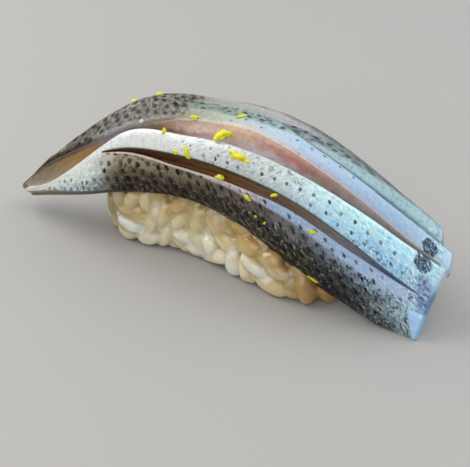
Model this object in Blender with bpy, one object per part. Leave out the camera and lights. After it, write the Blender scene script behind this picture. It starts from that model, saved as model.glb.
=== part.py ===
"""Gizzard shad nigiri: one cured, silver-skinned fillet draped over a pressed ball of vinegared rice.

The fillet is a sheet with three lengthwise cuts, which part it in the strips A, B, C and D from its near
edge to its far edge. The cuts open where the fillet bends over the rice, and the tail ends in two points.
Crumbs of grated citrus zest lie on it. +X runs along the fish towards its head end, +Y across it and +Z
up, with the board at z = 0.
"""

import math
import random
from dataclasses import dataclass

import bmesh
import bpy
import numpy as np
from mathutils import Matrix, Vector
from mathutils.bvhtree import BVHTree

MM = 0.001


@dataclass
class Station:
    """The fillet's section at one place along its length, in millimetres."""

    x: float
    ridge: tuple  # y and z of the arch's top
    near: tuple  # width of the near side and its fullness: 2 is an ellipse, more is squarer, 1 is a tent
    far: tuple  # the same for the far side
    wall_z: float  # height where the walls stand upright
    centre_cut: float  # from the ridge along the skin to the centre cut's far rim
    strips: tuple  # widths of the strips A, B, C and D, from the near edge to the far edge
    cuts: tuple  # openings of the cuts between A and B, B and C, and C and D
    thick: tuple  # thickness at the ridge and at the walls


STATIONS = (
    Station(-46, (-12.2, 4.6), (2.6, 1.8), (2.6, 1.8), 2.0, 0.2, (0.7, 0.6, 0.8, 1.2), (0.3, 0.8, 0.3), (1.6, 1.2)),
    Station(-38, (-10.2, 12.8), (5.0, 1.2), (5.0, 1.4), 1.0, 1.2, (0.8, 1.0, 2.4, 3.4), (0.3, 4.6, 0.3), (2.6, 1.4)),
    Station(-29, (-6.8, 21.8), (11.0, 1.1), (7.0, 1.7), 2.0, 5.0, (2.8, 3.2, 5.6, 7.0), (0.3, 3.6, 0.3), (3.6, 2.4)),
    Station(-20, (-3.6, 27.2), (9.8, 1.6), (10.4, 2.0), 8.0, 6.6, (7.7, 2.4, 6.8, 9.0), (0.6, 1.8, 0.3), (4.2, 2.4)),
    Station(-4, (-1.0, 28.8), (10.0, 2.3), (11.8, 2.3), 17.0, 4.2, (7.0, 4.4, 6.0, 10.6), (2.1, 3.6, 0.3), (4.4, 2.4)),
    Station(8, (-1.5, 29.0), (10.0, 2.4), (12.8, 2.4), 17.0, 2.9, (9.8, 4.7, 5.4, 10.8), (2.1, 4.4, 0.3), (4.4, 2.4)),
    Station(20, (-1.0, 26.8), (10.8, 2.2), (12.4, 2.2), 12.0, 4.3, (12.9, 5.0, 2.5, 11.4), (1.6, 2.7, 0.4), (4.2, 2.4)),
    Station(30, (0.8, 22.2), (11.8, 1.8), (12.0, 1.8), 6.0, 4.9, (11.2, 5.7, 1.9, 10.4), (1.4, 1.7, 0.4), (3.8, 2.4)),
    Station(39, (2.6, 17.0), (12.8, 1.5), (9.6, 1.6), 2.0, 5.5, (9.8, 6.3, 2.6, 8.6), (0.4, 0.8, 0.5), (3.2, 2.2)),
    Station(45.6, (3.0, 13.2), (12.8, 1.35), (8.0, 1.35), 0.0, 5.0, (7.2, 6.2, 2.4, 5.6), (0.3, 0.3, 0.5), (2.6, 2.0)),
)

# Where each line along the fillet starts at the tail and stops at the head end.
LINES = ("near_edge", "rim_ab_near", "rim_ab_far", "rim_bc_near", "rim_bc_far", "rim_cd_near", "rim_cd_far",
         "far_edge")
TAIL_X = dict(zip(LINES, (-41.6, -43.0, -43.2, -42.6, -45.6, -46.2, -46.3, -44.6)))
HEAD_X = dict(zip(LINES, (45.2, 45.6, 45.7, 46.0, 46.2, 45.6, 43.4, 40.4)))

# The reach of each cut along the fish, and its depth as a share of the fillet's thickness.
CUT_REACH = {"ab": (-24.5, 43.5), "bc": (-60.0, 45.0), "cd": (12.0, 60.0)}
CUT_DEPTH = {"ab": 0.72, "bc": 0.62, "cd": 0.45}
CUT_RUN_OUT = 6.0

WALL_TUCK = 0.055  # how fast a wall curls in below its widest point
WALL_REACH = (0.8, 14.0)  # how far a wall goes down below its widest point, from its first step to its last
EDGE_SHARE = 0.62  # thickness of the long edges as a share of the fillet's
EDGE_REACH = 4.0  # how far in from the edge the fillet has its full thickness
ARCH_STEPS = 26
SHEET_STEPS = 44

# Rows across the skin between two lines, as shares of the way.
STRIP_ROWS = {"a": (0.08, 0.3, 0.55, 0.8), "b": (0.3, 0.7), "c": (0.3, 0.7), "d": (0.2, 0.45, 0.7, 0.92)}

# Zest crumbs: place along the fish, place across it from the ridge, length, width, height, turn in degrees.
ZEST = (
    (3.1, -6.3, 3.4, 2.0, 1.5, 60),
    (8.0, -8.9, 5.0, 1.9, 1.5, 0),
    (-3.0, -10.9, 3.0, 1.5, 1.1, 120),
    (-5.5, -11.2, 1.4, 1.0, 0.8, 0),
    (-9.4, -7.8, 1.8, 0.8, 0.7, 70),
    (-4.6, -3.8, 2.2, 0.9, 0.7, 0),
    (3.7, -0.2, 2.4, 0.8, 0.7, 60),
    (5.1, -13.6, 3.2, 1.0, 0.8, 10),
    (11.2, -15.4, 2.2, 1.2, 0.9, 160),
    (16.2, -12.6, 2.0, 1.0, 0.8, 40),
    (24.1, -14.8, 2.4, 1.1, 0.9, 10),
    (13.1, -18.2, 2.6, 1.2, 0.9, 20),
    (25.0, -24.3, 2.8, 0.9, 0.7, 15),
    (-20.5, 0.7, 1.4, 1.0, 0.9, 0),
    (-16.2, 2.5, 1.6, 0.8, 0.8, 30),
)

# The pressed core of the rice ball: x, y of its near and far walls at the floor, and its height.
RICE_STATIONS = (
    (-23.5, -7.6, 3.0, 11.0),
    (-17.5, -10.0, 7.6, 20.5),
    (-10.0, -8.6, 9.0, 22.5),
    (-3.0, -7.6, 9.4, 23.3),
    (6.0, -8.6, 9.6, 23.5),
    (14.0, -10.0, 9.4, 22.8),
    (21.0, -10.2, 8.6, 20.0),
    (25.5, -8.4, 7.0, 15.0),
    (28.5, -3.4, 2.6, 8.0),
)
RICE_FULLNESS = 2.8
RICE_FIT = 1.6  # from the underside of the fillet to the pressed core
RICE_STEPS = 24
RICE_ROWS = 9
GRAIN_SIZE = (6.4, 2.9, 2.6)
GRAIN_SIDES = 5
GRAIN_COUNT = 66
GRAIN_GAP = 0.35
GRAIN_LIFTS = (0.9, 0.3, -0.4)
GRAIN_FLOOR = 0.15

# The grains that show under the near edge: place along the ball, height, turn in degrees, length.
SHOWN_GRAINS = (
    (-22.6, 3.4, 140, 6.6),
    (-16.4, 4.8, 160, 5.8),
    (-12.4, 5.4, 80, 6.4),
    (-15.8, 9.0, 5, 5.8),
    (-17.2, 1.4, 170, 5.4),
    (-12.6, 1.4, 0, 5.6),
    (-9.2, 2.8, 105, 5.6),
    (-9.0, 7.6, 100, 5.4),
    (-6.0, 7.2, 75, 6.0),
    (-5.2, 3.6, 165, 5.2),
    (-5.6, 1.4, 145, 5.0),
    (-1.8, 6.0, 105, 6.6),
    (-1.6, 1.4, 155, 5.4),
    (1.8, 3.8, 100, 5.4),
    (3.4, 1.4, 10, 6.6),
    (4.8, 5.6, 135, 5.4),
    (8.0, 3.2, 110, 5.2),
    (7.8, 1.4, 135, 5.0),
    (11.2, 1.4, 115, 5.2),
    (9.2, 6.4, 0, 5.2),
    (13.6, 4.4, 155, 6.2),
    (13.0, 7.2, 5, 5.4),
    (14.4, 1.4, 170, 5.8),
    (19.2, 1.4, 165, 6.6),
    (18.2, 4.4, 30, 5.4),
    (17.6, 7.2, 5, 5.2),
    (23.4, 2.6, 105, 6.2),
    (25.6, 2.2, 115, 5.2),
    (26.6, 1.4, 145, 5.2),
)
FISH_HALF = 2.4  # no place inside the fillet is further than this from its surface
PRESS_SHARE = 0.06  # share of the way to the core's heart that a point moves in one press
PRESS_COUNT = 30
WELD = 0.000001  # metres: points this close after a union are one
SEED = 7


def cubic(x, knots, values):
    """A smooth curve through the stations' values."""
    knots = np.asarray(knots, float)
    values = np.asarray(values, float)
    steps = np.diff(knots)
    slopes = np.diff(values, axis=0) / steps[:, None]
    inner = (slopes[:-1] * steps[1:, None] + slopes[1:] * steps[:-1, None]) / (steps[1:] + steps[:-1])[:, None]
    tangents = np.vstack([slopes[:1], inner, slopes[-1:]])
    place = int(np.clip(np.searchsorted(knots, x) - 1, 0, len(steps) - 1))
    h = steps[place]
    t = (x - knots[place]) / h
    start = (2 * t ** 3 - 3 * t ** 2 + 1) * values[place] + (t ** 3 - 2 * t ** 2 + t) * h * tangents[place]
    end = (-2 * t ** 3 + 3 * t ** 2) * values[place + 1] + (t ** 3 - t ** 2) * h * tangents[place + 1]
    return start + end


STATION_X = [station.x for station in STATIONS]
STATION_VALUES = [
    [*s.ridge, *s.near, *s.far, s.wall_z, s.centre_cut, *s.strips, *s.cuts, *s.thick] for s in STATIONS
]


class Section:
    """The fillet's section at any x: its lines across, and its skin and underside as two arches."""

    def __init__(self, x):
        v = cubic(x, STATION_X, STATION_VALUES)
        self.x = x
        self.ridge_y, self.ridge_z = v[0], v[1]
        self.sides = {-1: (v[2], v[3]), 1: (v[4], v[5])}
        self.wall_z = v[6]
        self.thick_top, self.thick_side = v[15], v[16]
        strips = np.maximum(v[8:12], 0.4)
        cuts = np.maximum(v[12:15], 0.3)
        far_rim = -v[7]
        self.lines = {
            "rim_bc_far": far_rim,
            "rim_bc_near": far_rim - cuts[1],
            "rim_ab_far": far_rim - cuts[1] - strips[1],
            "rim_ab_near": far_rim - cuts[1] - strips[1] - cuts[0],
            "near_edge": far_rim - cuts[1] - strips[1] - cuts[0] - strips[0],
            "rim_cd_near": far_rim + strips[2],
            "rim_cd_far": far_rim + strips[2] + cuts[2],
            "far_edge": far_rim + strips[2] + cuts[2] + strips[3],
        }
        self.arches = {side: self.arch(side) for side in (-1, 1)}

    def arch(self, side):
        """Points of the skin and of the underside from the ridge down one side, with lengths along the skin."""
        width, fullness = self.sides[side]
        turn = np.linspace(0, math.pi / 2, ARCH_STEPS)
        out = np.sin(turn) ** (2 / fullness)
        up = np.cos(turn) ** (2 / fullness)
        up[-1] = 0.0
        drop = np.linspace(*WALL_REACH, ARCH_STEPS // 2)
        curl = WALL_TUCK * drop ** 2
        skin_y = np.concatenate([width * out, width - curl])
        skin_z = np.concatenate([self.wall_z + (self.ridge_z - self.wall_z) * up, self.wall_z - drop])
        under_y = np.concatenate([(width - self.thick_side) * out, width - self.thick_side - curl])
        under_z = np.concatenate([
            self.wall_z + (self.ridge_z - self.thick_top - self.wall_z) * up, self.wall_z - drop,
        ])
        along = np.concatenate([[0], np.cumsum(np.hypot(np.diff(skin_y), np.diff(skin_z)))])
        return along, skin_y, skin_z, under_y, under_z

    def point(self, across, depth=0.0):
        """The place a given way across the skin from the ridge, and a share of the thickness below it."""
        side = -1 if across < 0 else 1
        along, skin_y, skin_z, under_y, under_z = self.arches[side]
        place = abs(across)
        top = np.array([np.interp(place, along, skin_y), np.interp(place, along, skin_z)])
        low = np.array([np.interp(place, along, under_y), np.interp(place, along, under_z)])
        y, z = top + (low - top) * depth
        return Vector((self.x, self.ridge_y + side * y, max(z, 0.0)))

    def across(self, before, after, share):
        """A place between two lines, as a share of the way from one to the other."""
        return self.lines[before] + (self.lines[after] - self.lines[before]) * share


def cut_depth(cut, x):
    """Depth of a cut at x: full along its reach, and running out at both of its ends."""
    start, end = CUT_REACH[cut]
    share = min((x - start) / CUT_RUN_OUT, (end - x) / CUT_RUN_OUT, 1.0)
    share = max(share, 0.0)
    return CUT_DEPTH[cut] * math.sin(share * math.pi / 2)


def skin_rows():
    """The sheet's rows from its near edge to its far edge: two lines, the share between them, and a cut."""
    rows = [("near_edge", "rim_ab_near", 0.0, None)]
    rows += [("near_edge", "rim_ab_near", share, None) for share in STRIP_ROWS["a"]]
    rows += cut_rows("rim_ab_near", "rim_ab_far", "ab", (0.3, 0.75))
    rows += [("rim_ab_far", "rim_bc_near", share, None) for share in STRIP_ROWS["b"]]
    rows += cut_rows("rim_bc_near", "rim_bc_far", "bc", (0.25, 0.55, 0.85))
    rows += [("rim_bc_far", "rim_cd_near", share, None) for share in STRIP_ROWS["c"]]
    rows += cut_rows("rim_cd_near", "rim_cd_far", "cd", (0.5,))
    rows += [("rim_cd_far", "far_edge", share, None) for share in STRIP_ROWS["d"]]
    rows.append(("rim_cd_far", "far_edge", 1.0, None))
    return rows


def cut_rows(near, far, cut, shares):
    """The rows of one cut: its near rim, its floor and its far rim."""
    rows = [(near, far, 0.0, None)]
    rows += [(near, far, share, cut) for share in shares]
    rows.append((near, far, 1.0, None))
    return rows


def sheet_place(row, share):
    """The x of one row of the sheet, a share of the way from the tail to the head end."""
    before, after, between, _ = row
    tail = TAIL_X[before] + (TAIL_X[after] - TAIL_X[before]) * between
    head = HEAD_X[before] + (HEAD_X[after] - HEAD_X[before]) * between
    return tail + (head - tail) * share


def edge_depth(section, across):
    """Depth of the underside as a share of the full thickness: less towards the two long edges."""
    near = across - section.lines["near_edge"]
    far = section.lines["far_edge"] - across
    rise = min(near, far, EDGE_REACH) / EDGE_REACH
    return EDGE_SHARE + (1.0 - EDGE_SHARE) * rise


def sheet_mesh():
    """The fillet as one closed sheet: its skin with the cuts, its underside and the rim around both."""
    mesh = bmesh.new()
    rows = skin_rows()
    skins = []
    unders = []
    for step in range(SHEET_STEPS + 1):
        skin = []
        under = []
        for row in rows:
            x = sheet_place(row, step / SHEET_STEPS)
            section = Section(x)
            across = section.across(*row[:3])
            whole = edge_depth(section, across)
            depth = cut_depth(row[3], x) * whole if row[3] else 0.0
            skin.append(mesh.verts.new(section.point(across, depth) * MM))
            under.append(mesh.verts.new(section.point(across, whole) * MM))
        skins.append(skin)
        unders.append(under)
    for column in range(SHEET_STEPS):
        for row in range(len(rows) - 1):
            for side in (skins, unders):
                left, right = side[column], side[column + 1]
                mesh.faces.new((left[row], left[row + 1], right[row + 1], right[row]))
        for row in (0, -1):
            mesh.faces.new((skins[column][row], skins[column + 1][row], unders[column + 1][row],
                            unders[column][row]))
    for column in (0, -1):
        for row in range(len(rows) - 1):
            mesh.faces.new((skins[column][row], skins[column][row + 1], unders[column][row + 1],
                            unders[column][row]))
    finish_mesh(mesh)
    return mesh


def finish_mesh(mesh):
    """Split the faces in triangles and turn every one outwards."""
    bmesh.ops.triangulate(mesh, faces=mesh.faces[:], quad_method="SHORT_EDGE", ngon_method="BEAUTY")
    bmesh.ops.recalc_face_normals(mesh, faces=mesh.faces[:])


def material(name, colour, roughness, metallic):
    """A plain Principled material."""
    made = bpy.data.materials.new(name)
    made.use_nodes = True
    shader = made.node_tree.nodes["Principled BSDF"]
    shader.inputs["Base Color"].default_value = (*colour, 1.0)
    shader.inputs["Roughness"].default_value = roughness
    shader.inputs["Metallic"].default_value = metallic
    return made


def place_mesh(mesh, name, look):
    """Put a mesh in the scene as an object of its own."""
    data = bpy.data.meshes.new(name)
    mesh.to_mesh(data)
    mesh.free()
    made = bpy.data.objects.new(name, data)
    made.data.materials.append(look)
    bpy.context.scene.collection.objects.link(made)
    return made


def pebble(size, sides, rings, frame, taper=0.0, jitter=None):
    """A rounded grain or crumb around the origin of a frame, longest along that frame's x."""
    mesh = bmesh.new()
    length, width, height = (value * MM for value in size)
    tips = [mesh.verts.new(frame @ Vector((end * length / 2, 0, 0))) for end in (-1, 1)]
    loops = []
    for ring in range(1, rings + 1):
        along = math.cos(math.pi * ring / (rings + 1))
        girth = math.sin(math.pi * ring / (rings + 1)) ** 0.8 * (1.0 - taper * along)
        loop = []
        for side in range(sides):
            turn = 2 * math.pi * (side + 0.5 * (ring % 2)) / sides
            reach = girth * (1.0 + (jitter.uniform(-0.25, 0.25) if jitter else 0.0))
            spot = Vector((-along * length / 2, math.cos(turn) * width / 2 * reach,
                           math.sin(turn) * height / 2 * reach))
            loop.append(mesh.verts.new(frame @ spot))
        loops.append(loop)
    for side in range(sides):
        after = (side + 1) % sides
        mesh.faces.new((tips[0], loops[0][side], loops[0][after]))
        mesh.faces.new((tips[1], loops[-1][after], loops[-1][side]))
        for low, high in zip(loops, loops[1:]):
            mesh.faces.new((low[side], high[side], high[after], low[after]))
    finish_mesh(mesh)
    return mesh


def skin_frame(x, across, turn, lift):
    """A frame on the skin: its z is the skin's normal, and its x is turned from the fish's length."""
    section = Section(x)
    here = section.point(across)
    along = Section(x + 0.5).point(across) - Section(x - 0.5).point(across)
    sideways = section.point(across + 0.4) - section.point(across - 0.4)
    normal = along.cross(sideways).normalized()
    along.normalize()
    sideways = normal.cross(along)
    frame = Matrix((along, sideways, normal)).transposed().to_4x4()
    frame.translation = (here + normal * lift) * MM
    return frame @ Matrix.Rotation(math.radians(turn), 4, "Z")


def fuse(base, pieces):
    """Join the pieces to the base with one Boolean union, and clear them away."""
    group = bpy.data.collections.new(base.name + "_pieces")
    for piece in pieces:
        bpy.context.scene.collection.objects.unlink(piece)
        group.objects.link(piece)
    union = base.modifiers.new("union", "BOOLEAN")
    union.operation = "UNION"
    union.solver = "EXACT"
    union.operand_type = "COLLECTION"
    union.collection = group
    fused = bpy.data.meshes.new_from_object(base.evaluated_get(bpy.context.evaluated_depsgraph_get()))
    base.modifiers.clear()
    base.data = fused
    for piece in pieces:
        bpy.data.objects.remove(piece)
    bpy.data.collections.remove(group)


def keep_largest_body(made):
    """Drop loose scraps and fill what a union sealed inside, so that one closed body is left."""
    mesh = bmesh.new()
    mesh.from_mesh(made.data)
    bmesh.ops.remove_doubles(mesh, verts=mesh.verts[:], dist=WELD)
    bmesh.ops.dissolve_degenerate(mesh, edges=mesh.edges[:], dist=WELD)
    seen = set()
    bodies = []
    for start in mesh.faces:
        if start in seen:
            continue
        seen.add(start)
        body = [start]
        for face in body:
            for edge in face.edges:
                for other in edge.link_faces:
                    if other not in seen:
                        seen.add(other)
                        body.append(other)
        bodies.append(body)
    bodies.sort(key=len, reverse=True)
    scraps = [face for body in bodies[1:] for face in body]
    bmesh.ops.delete(mesh, geom=scraps, context="FACES")
    finish_mesh(mesh)
    mesh.to_mesh(made.data)
    mesh.free()


def build_fish(look):
    """The fillet with its zest."""
    fish = place_mesh(sheet_mesh(), "fish", look)
    bare = BVHTree.FromObject(fish, bpy.context.evaluated_depsgraph_get())
    rng = random.Random(SEED)
    crumbs = []
    for x, across, length, width, height, turn in ZEST:
        frame = skin_frame(x, across, turn, height * 0.12)
        mesh = pebble((length, width, height), 5, 3, frame, 0.2, rng)
        crumbs.append(place_mesh(mesh, "crumb", look))
    fuse(fish, crumbs)
    keep_largest_body(fish)
    return fish, bare


def rice_section(x):
    """Middle, half width and height of the core at x."""
    near, far, height = cubic(x, [row[0] for row in RICE_STATIONS], [row[1:] for row in RICE_STATIONS])
    return (near + far) / 2, (far - near) / 2, height


def rice_wall(x, side, z):
    """The place on one side of the core at a height."""
    middle, half, height = rice_section(x)
    out = max(1.0 - (z / height) ** RICE_FULLNESS, 0.0) ** (1 / RICE_FULLNESS)
    return Vector((x, middle + side * half * out, z))


def rice_ring(x):
    """The core's outline at x, from the near wall at the floor over the top to the far wall."""
    middle, half, height = rice_section(x)
    ring = []
    for row in range(2 * RICE_ROWS + 1):
        turn = math.pi * row / (2 * RICE_ROWS)
        out = math.copysign(abs(math.cos(turn)) ** (2 / RICE_FULLNESS), math.cos(turn))
        up = math.sin(turn) ** (2 / RICE_FULLNESS) if 0 < row < 2 * RICE_ROWS else 0.0
        ring.append(Vector((x, middle - half * out, height * up)))
    return ring


def keeps_gap(place, fish, gap):
    """Whether a place lies outside the fish, at least a gap away from it."""
    nearest, normal, _, distance = fish.find_nearest(place)
    outside = distance > FISH_HALF * MM or (place - nearest).dot(normal) > 0
    return outside and distance >= gap * MM


def pressed_in(point, fish):
    """A place of the core, moved inwards until it keeps its gap to the fish."""
    heart = Vector((point.x, rice_section(point.x)[0], point.z * 0.6))
    for _ in range(PRESS_COUNT):
        if keeps_gap(point * MM, fish, RICE_FIT):
            break
        point = point.lerp(heart, PRESS_SHARE)
    return point


def core_mesh(fish):
    """The pressed rice without its loose grains."""
    mesh = bmesh.new()
    columns = []
    for step in range(RICE_STEPS + 1):
        wave = 0.5 - 0.5 * math.cos(math.pi * step / RICE_STEPS)
        x = RICE_STATIONS[0][0] + (RICE_STATIONS[-1][0] - RICE_STATIONS[0][0]) * wave
        columns.append([mesh.verts.new(pressed_in(point, fish) * MM) for point in rice_ring(x)])
    count = len(columns[0])
    for left, right in zip(columns, columns[1:]):
        for i in range(count):
            j = (i + 1) % count
            mesh.faces.new((left[i], left[j], right[j], right[i]))
    mesh.faces.new(columns[0][::-1])
    mesh.faces.new(columns[-1])
    finish_mesh(mesh)
    return mesh


def is_clear(mesh, fish):
    """Whether a grain keeps its gap to the fish at every corner and crosses it nowhere."""
    if not all(keeps_gap(vert.co, fish, GRAIN_GAP) for vert in mesh.verts):
        return False
    return not BVHTree.FromBMesh(mesh).overlap(fish)


def wall_frame(x, side, z, lift):
    """A frame on the core's side: its x runs along the core, and its z points out of it."""
    here = rice_wall(x, side, z)
    along = rice_wall(x + 0.3, side, z) - rice_wall(x - 0.3, side, z)
    rise = rice_wall(x, side, z + 0.3) - rice_wall(x, side, max(z - 0.3, 0.0))
    normal = along.cross(rise).normalized() * -side
    along.normalize()
    frame = Matrix((along, normal.cross(along), normal)).transposed().to_4x4()
    frame.translation = (here + normal * lift) * MM
    return frame


def add_grain(grains, look, fish, place, turn, tip, size):
    """Lay one grain on the core, sunk as deep as it needs to clear the fish, or leave it out."""
    for lift in GRAIN_LIFTS:
        spot = wall_frame(*place, lift)
        mesh = pebble(size, GRAIN_SIDES, 3, spot @ Matrix.Rotation(turn, 4, "Z") @ Matrix.Rotation(tip, 4, "Y"))
        lowest = min(vert.co.z for vert in mesh.verts)
        if lowest < GRAIN_FLOOR * MM:
            bmesh.ops.translate(mesh, verts=mesh.verts[:], vec=(0, 0, GRAIN_FLOOR * MM - lowest))
        if is_clear(mesh, fish):
            grains.append(place_mesh(mesh, "grain", look))
            return
        mesh.free()


def build_rice(look, fish):
    """The pressed core with its outer grains fused on."""
    rice = place_mesh(core_mesh(fish), "rice", look)
    rng = random.Random(SEED)
    grains = []
    for x, z, turn, length in SHOWN_GRAINS:
        size = (length, GRAIN_SIZE[1], GRAIN_SIZE[2])
        add_grain(grains, look, fish, (x, -1, z), math.radians(turn), 0.0, size)
    start, end = RICE_STATIONS[0][0] + 0.5, RICE_STATIONS[-1][0] - 0.5
    for _ in range(GRAIN_COUNT):
        x = rng.uniform(start, end)
        place = (x, rng.choice((-1, 1, 1)), rng.uniform(1.2, 0.75 * rice_section(x)[2]))
        size = [value * rng.uniform(0.9, 1.08) for value in GRAIN_SIZE]
        add_grain(grains, look, fish, place, rng.uniform(0, math.pi), rng.uniform(-0.4, 0.4), size)
    fuse(rice, grains)
    keep_largest_body(rice)
    return rice


def centre_on_base(objects):
    """Move everything so that the middle of the bounding box's bottom is the origin."""
    corners = np.array([vert.co for made in objects for vert in made.data.vertices])
    low, high = corners.min(axis=0), corners.max(axis=0)
    shift = Vector((-(low[0] + high[0]) / 2, -(low[1] + high[1]) / 2, -low[2]))
    for made in objects:
        made.data.transform(Matrix.Translation(shift))
    print("shift", [round(value / MM, 3) for value in shift])


def main():
    for made in list(bpy.data.objects):
        bpy.data.objects.remove(made)
    skin = material("fish_skin", (0.50, 0.56, 0.62), 0.32, 0.25)
    grain = material("rice_grain", (0.84, 0.77, 0.62), 0.38, 0.0)
    fish, bare = build_fish(skin)
    rice = build_rice(grain, bare)
    centre_on_base((fish, rice))
    for made in (fish, rice):
        print(made.name, len(made.data.polygons), "triangles")


main()
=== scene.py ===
"""Looks of a gizzard shad nigiri: a cured silver-skinned fillet with three lengthwise cuts over pressed rice.

The fillet's form is worked out from the same sections as the solid that it stands for. It is one dense sheet
with rounded rims, open cuts, skin, flesh and underside. The rice is a core under grains laid one by one, and
the citrus zest is a piece of its own. Sizes are in millimetres and are turned to metres when a mesh is made.
"""

import math
import random

import bmesh
import bpy
import numpy as np
from mathutils import Matrix, Vector
from mathutils import noise as relief
from mathutils.bvhtree import BVHTree
from mathutils.kdtree import KDTree


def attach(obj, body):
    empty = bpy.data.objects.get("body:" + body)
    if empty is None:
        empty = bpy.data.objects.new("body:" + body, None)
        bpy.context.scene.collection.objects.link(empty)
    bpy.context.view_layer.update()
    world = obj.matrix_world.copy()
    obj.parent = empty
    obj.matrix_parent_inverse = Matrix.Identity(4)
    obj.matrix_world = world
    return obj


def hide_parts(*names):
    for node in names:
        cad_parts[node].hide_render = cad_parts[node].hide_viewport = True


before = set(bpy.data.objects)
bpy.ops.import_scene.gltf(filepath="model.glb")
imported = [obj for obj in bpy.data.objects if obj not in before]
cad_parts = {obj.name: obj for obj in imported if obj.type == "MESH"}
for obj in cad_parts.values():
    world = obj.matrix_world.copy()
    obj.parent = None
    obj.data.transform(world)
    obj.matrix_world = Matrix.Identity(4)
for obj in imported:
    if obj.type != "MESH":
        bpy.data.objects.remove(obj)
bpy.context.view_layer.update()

MM = 0.001
SHIFT = Vector((0.05, 1.232, 0.0))  # from the fillet's own frame to the row frame

# The fillet's sections: x, (ridge y, z), (near width, fullness), (far width, fullness), wall height,
# ridge to centre cut, widths of strips A to D, openings of the cuts, thickness at the ridge and the walls.
STATIONS = (
    (-46, (-12.2, 4.6), (2.6, 1.8), (2.6, 1.8), 2, 0.2, (0.7, 0.6, 0.8, 1.2), (0.3, 0.8, 0.3), (1.6, 1.2)),
    (-38, (-10.2, 12.8), (5, 1.2), (5, 1.4), 1, 1.2, (0.8, 1, 2.4, 3.4), (0.3, 4.6, 0.3), (2.6, 1.4)),
    (-29, (-6.8, 20.8), (11, 1.1), (7, 1.5), 2, 4, (5.3, 1, 4.6, 7), (0.3, 3.4, 0.3), (3.6, 2.4)),
    (-24.5, (-5.1, 24.3), (10.8, 1.3), (8.7, 1.8), 4.7, 5.5, (7.8, 1.2, 5.8, 8.1), (0.3, 2, 0.3), (4, 2.4)),
    (-20, (-3.6, 27.2), (9.8, 1.6), (10.4, 2.2), 8, 6.6, (8.25, 3.05, 6.8, 9), (0.5, 0.7, 0.3), (4.2, 2.4)),
    (-4, (-1, 28.8), (10, 2.3), (11.8, 2.8), 17, 4.2, (7.3, 4.1, 6, 10.6), (2.1, 3.6, 0.3), (4.4, 2.4)),
    (8, (-1.5, 29), (10, 2.4), (12.8, 2.9), 17, 2.9, (9.8, 4.7, 5.4, 10.8), (2.1, 4.4, 0.3), (4.4, 2.4)),
    (20, (-1, 26.8), (10.8, 2.2), (12.4, 2.4), 12, 4.3, (12.9, 5, 3.8, 10.1), (1.6, 2.7, 0.4), (4.2, 2.4)),
    (30, (0.8, 22.2), (11.8, 1.8), (12, 1.8), 6, 4.9, (11.2, 5.7, 3.2, 9.1), (1.4, 1.7, 0.4), (3.8, 2.4)),
    (39, (2.6, 17), (12.8, 1.5), (9.6, 1.6), 2, 5.5, (9.8, 6.3, 3.4, 7.8), (0.4, 0.8, 0.5), (3.2, 2.2)),
    (45.6, (3, 13.2), (12.8, 1.35), (8, 1.35), 0, 5, (7.2, 6.2, 3.2, 4.8), (0.3, 0.3, 0.5), (2.6, 2)),
)
LINES = ("near_edge", "rim_ab_near", "rim_ab_far", "rim_bc_near", "rim_bc_far", "rim_cd_near", "rim_cd_far",
         "far_edge")
TAIL_X = dict(zip(LINES, (-41.6, -43.0, -43.2, -42.6, -45.6, -46.2, -46.3, -44.6)))
HEAD_X = dict(zip(LINES, (44.7, 45.1, 45.2, 45.8, 46.2, 45.7, 43.6, 40.8)))
CUT_REACH = {"ab": (-23.5, 43.5), "bc": (-60.0, 45.0), "cd": (12.0, 60.0)}
CUT_DEPTH = {"ab": 0.5, "bc": 0.5, "cd": 0.4}
CUT_RUN_OUT = 6.0
WALL_TUCK = 0.055
WALL_REACH = (0.8, 14.0)
EDGE_SHARE = 0.62
EDGE_REACH = 4.0
ARCH_STEPS = 26
SLOPE_REACH = 0.3  # how far to each side a slope is measured, in mm

# The dense sheet: places along, rows of each strip and cut, and how round its rims and edges are.
SHEET_COLUMNS = 300
STRIP_ROWS = {"a": 36, "b": 18, "c": 16, "d": 30}
CUT_ROWS = {"ab": 10, "bc": 14, "cd": 6}
EDGE_LAYERS = 4
EDGE_BULGE = 0.45
RIM_ROUND = 0.55
STRIP_CROWN = 0.22
WALL_SHARES = {"ab": (0.18, 0.5), "bc": (0.16, 0.62), "cd": (0.3, 0.5)}

# Crumbs of zest: x, place across, length, width, height and turn in degrees.
ZEST = (
    (3.1, -6.3, 3.2, 1.8, 1.3, 60),
    (4.4, -5.6, 1.7, 1.2, 1.1, 10),
    (8.0, -8.9, 4.6, 1.6, 1.1, 0),
    (-3.0, -10.9, 2.8, 1.4, 1.0, 120),
    (-5.5, -11.2, 1.5, 1.0, 0.6, 0),
    (-9.4, -7.8, 1.6, 0.9, 0.6, 70),
    (-4.6, -3.8, 2.0, 0.9, 0.6, 0),
    (3.7, -0.2, 2.0, 0.7, 0.6, 60),
    (5.1, -13.6, 2.4, 0.9, 0.6, 10),
    (11.2, -15.4, 1.7, 0.9, 0.6, 160),
    (16.2, -12.6, 1.4, 0.7, 0.5, 40),
    (13.1, -18.2, 1.0, 0.6, 0.5, 20),
    (15.0, -18.6, 0.9, 0.6, 0.5, 70),
    (24.1, -14.8, 1.8, 0.8, 0.6, 10),
    (25.0, -24.3, 2.4, 0.7, 0.5, 15),
    (-20.5, 0.7, 1.3, 0.9, 0.8, 0),
    (-16.2, 2.5, 1.5, 0.8, 0.7, 30),
)

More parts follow.
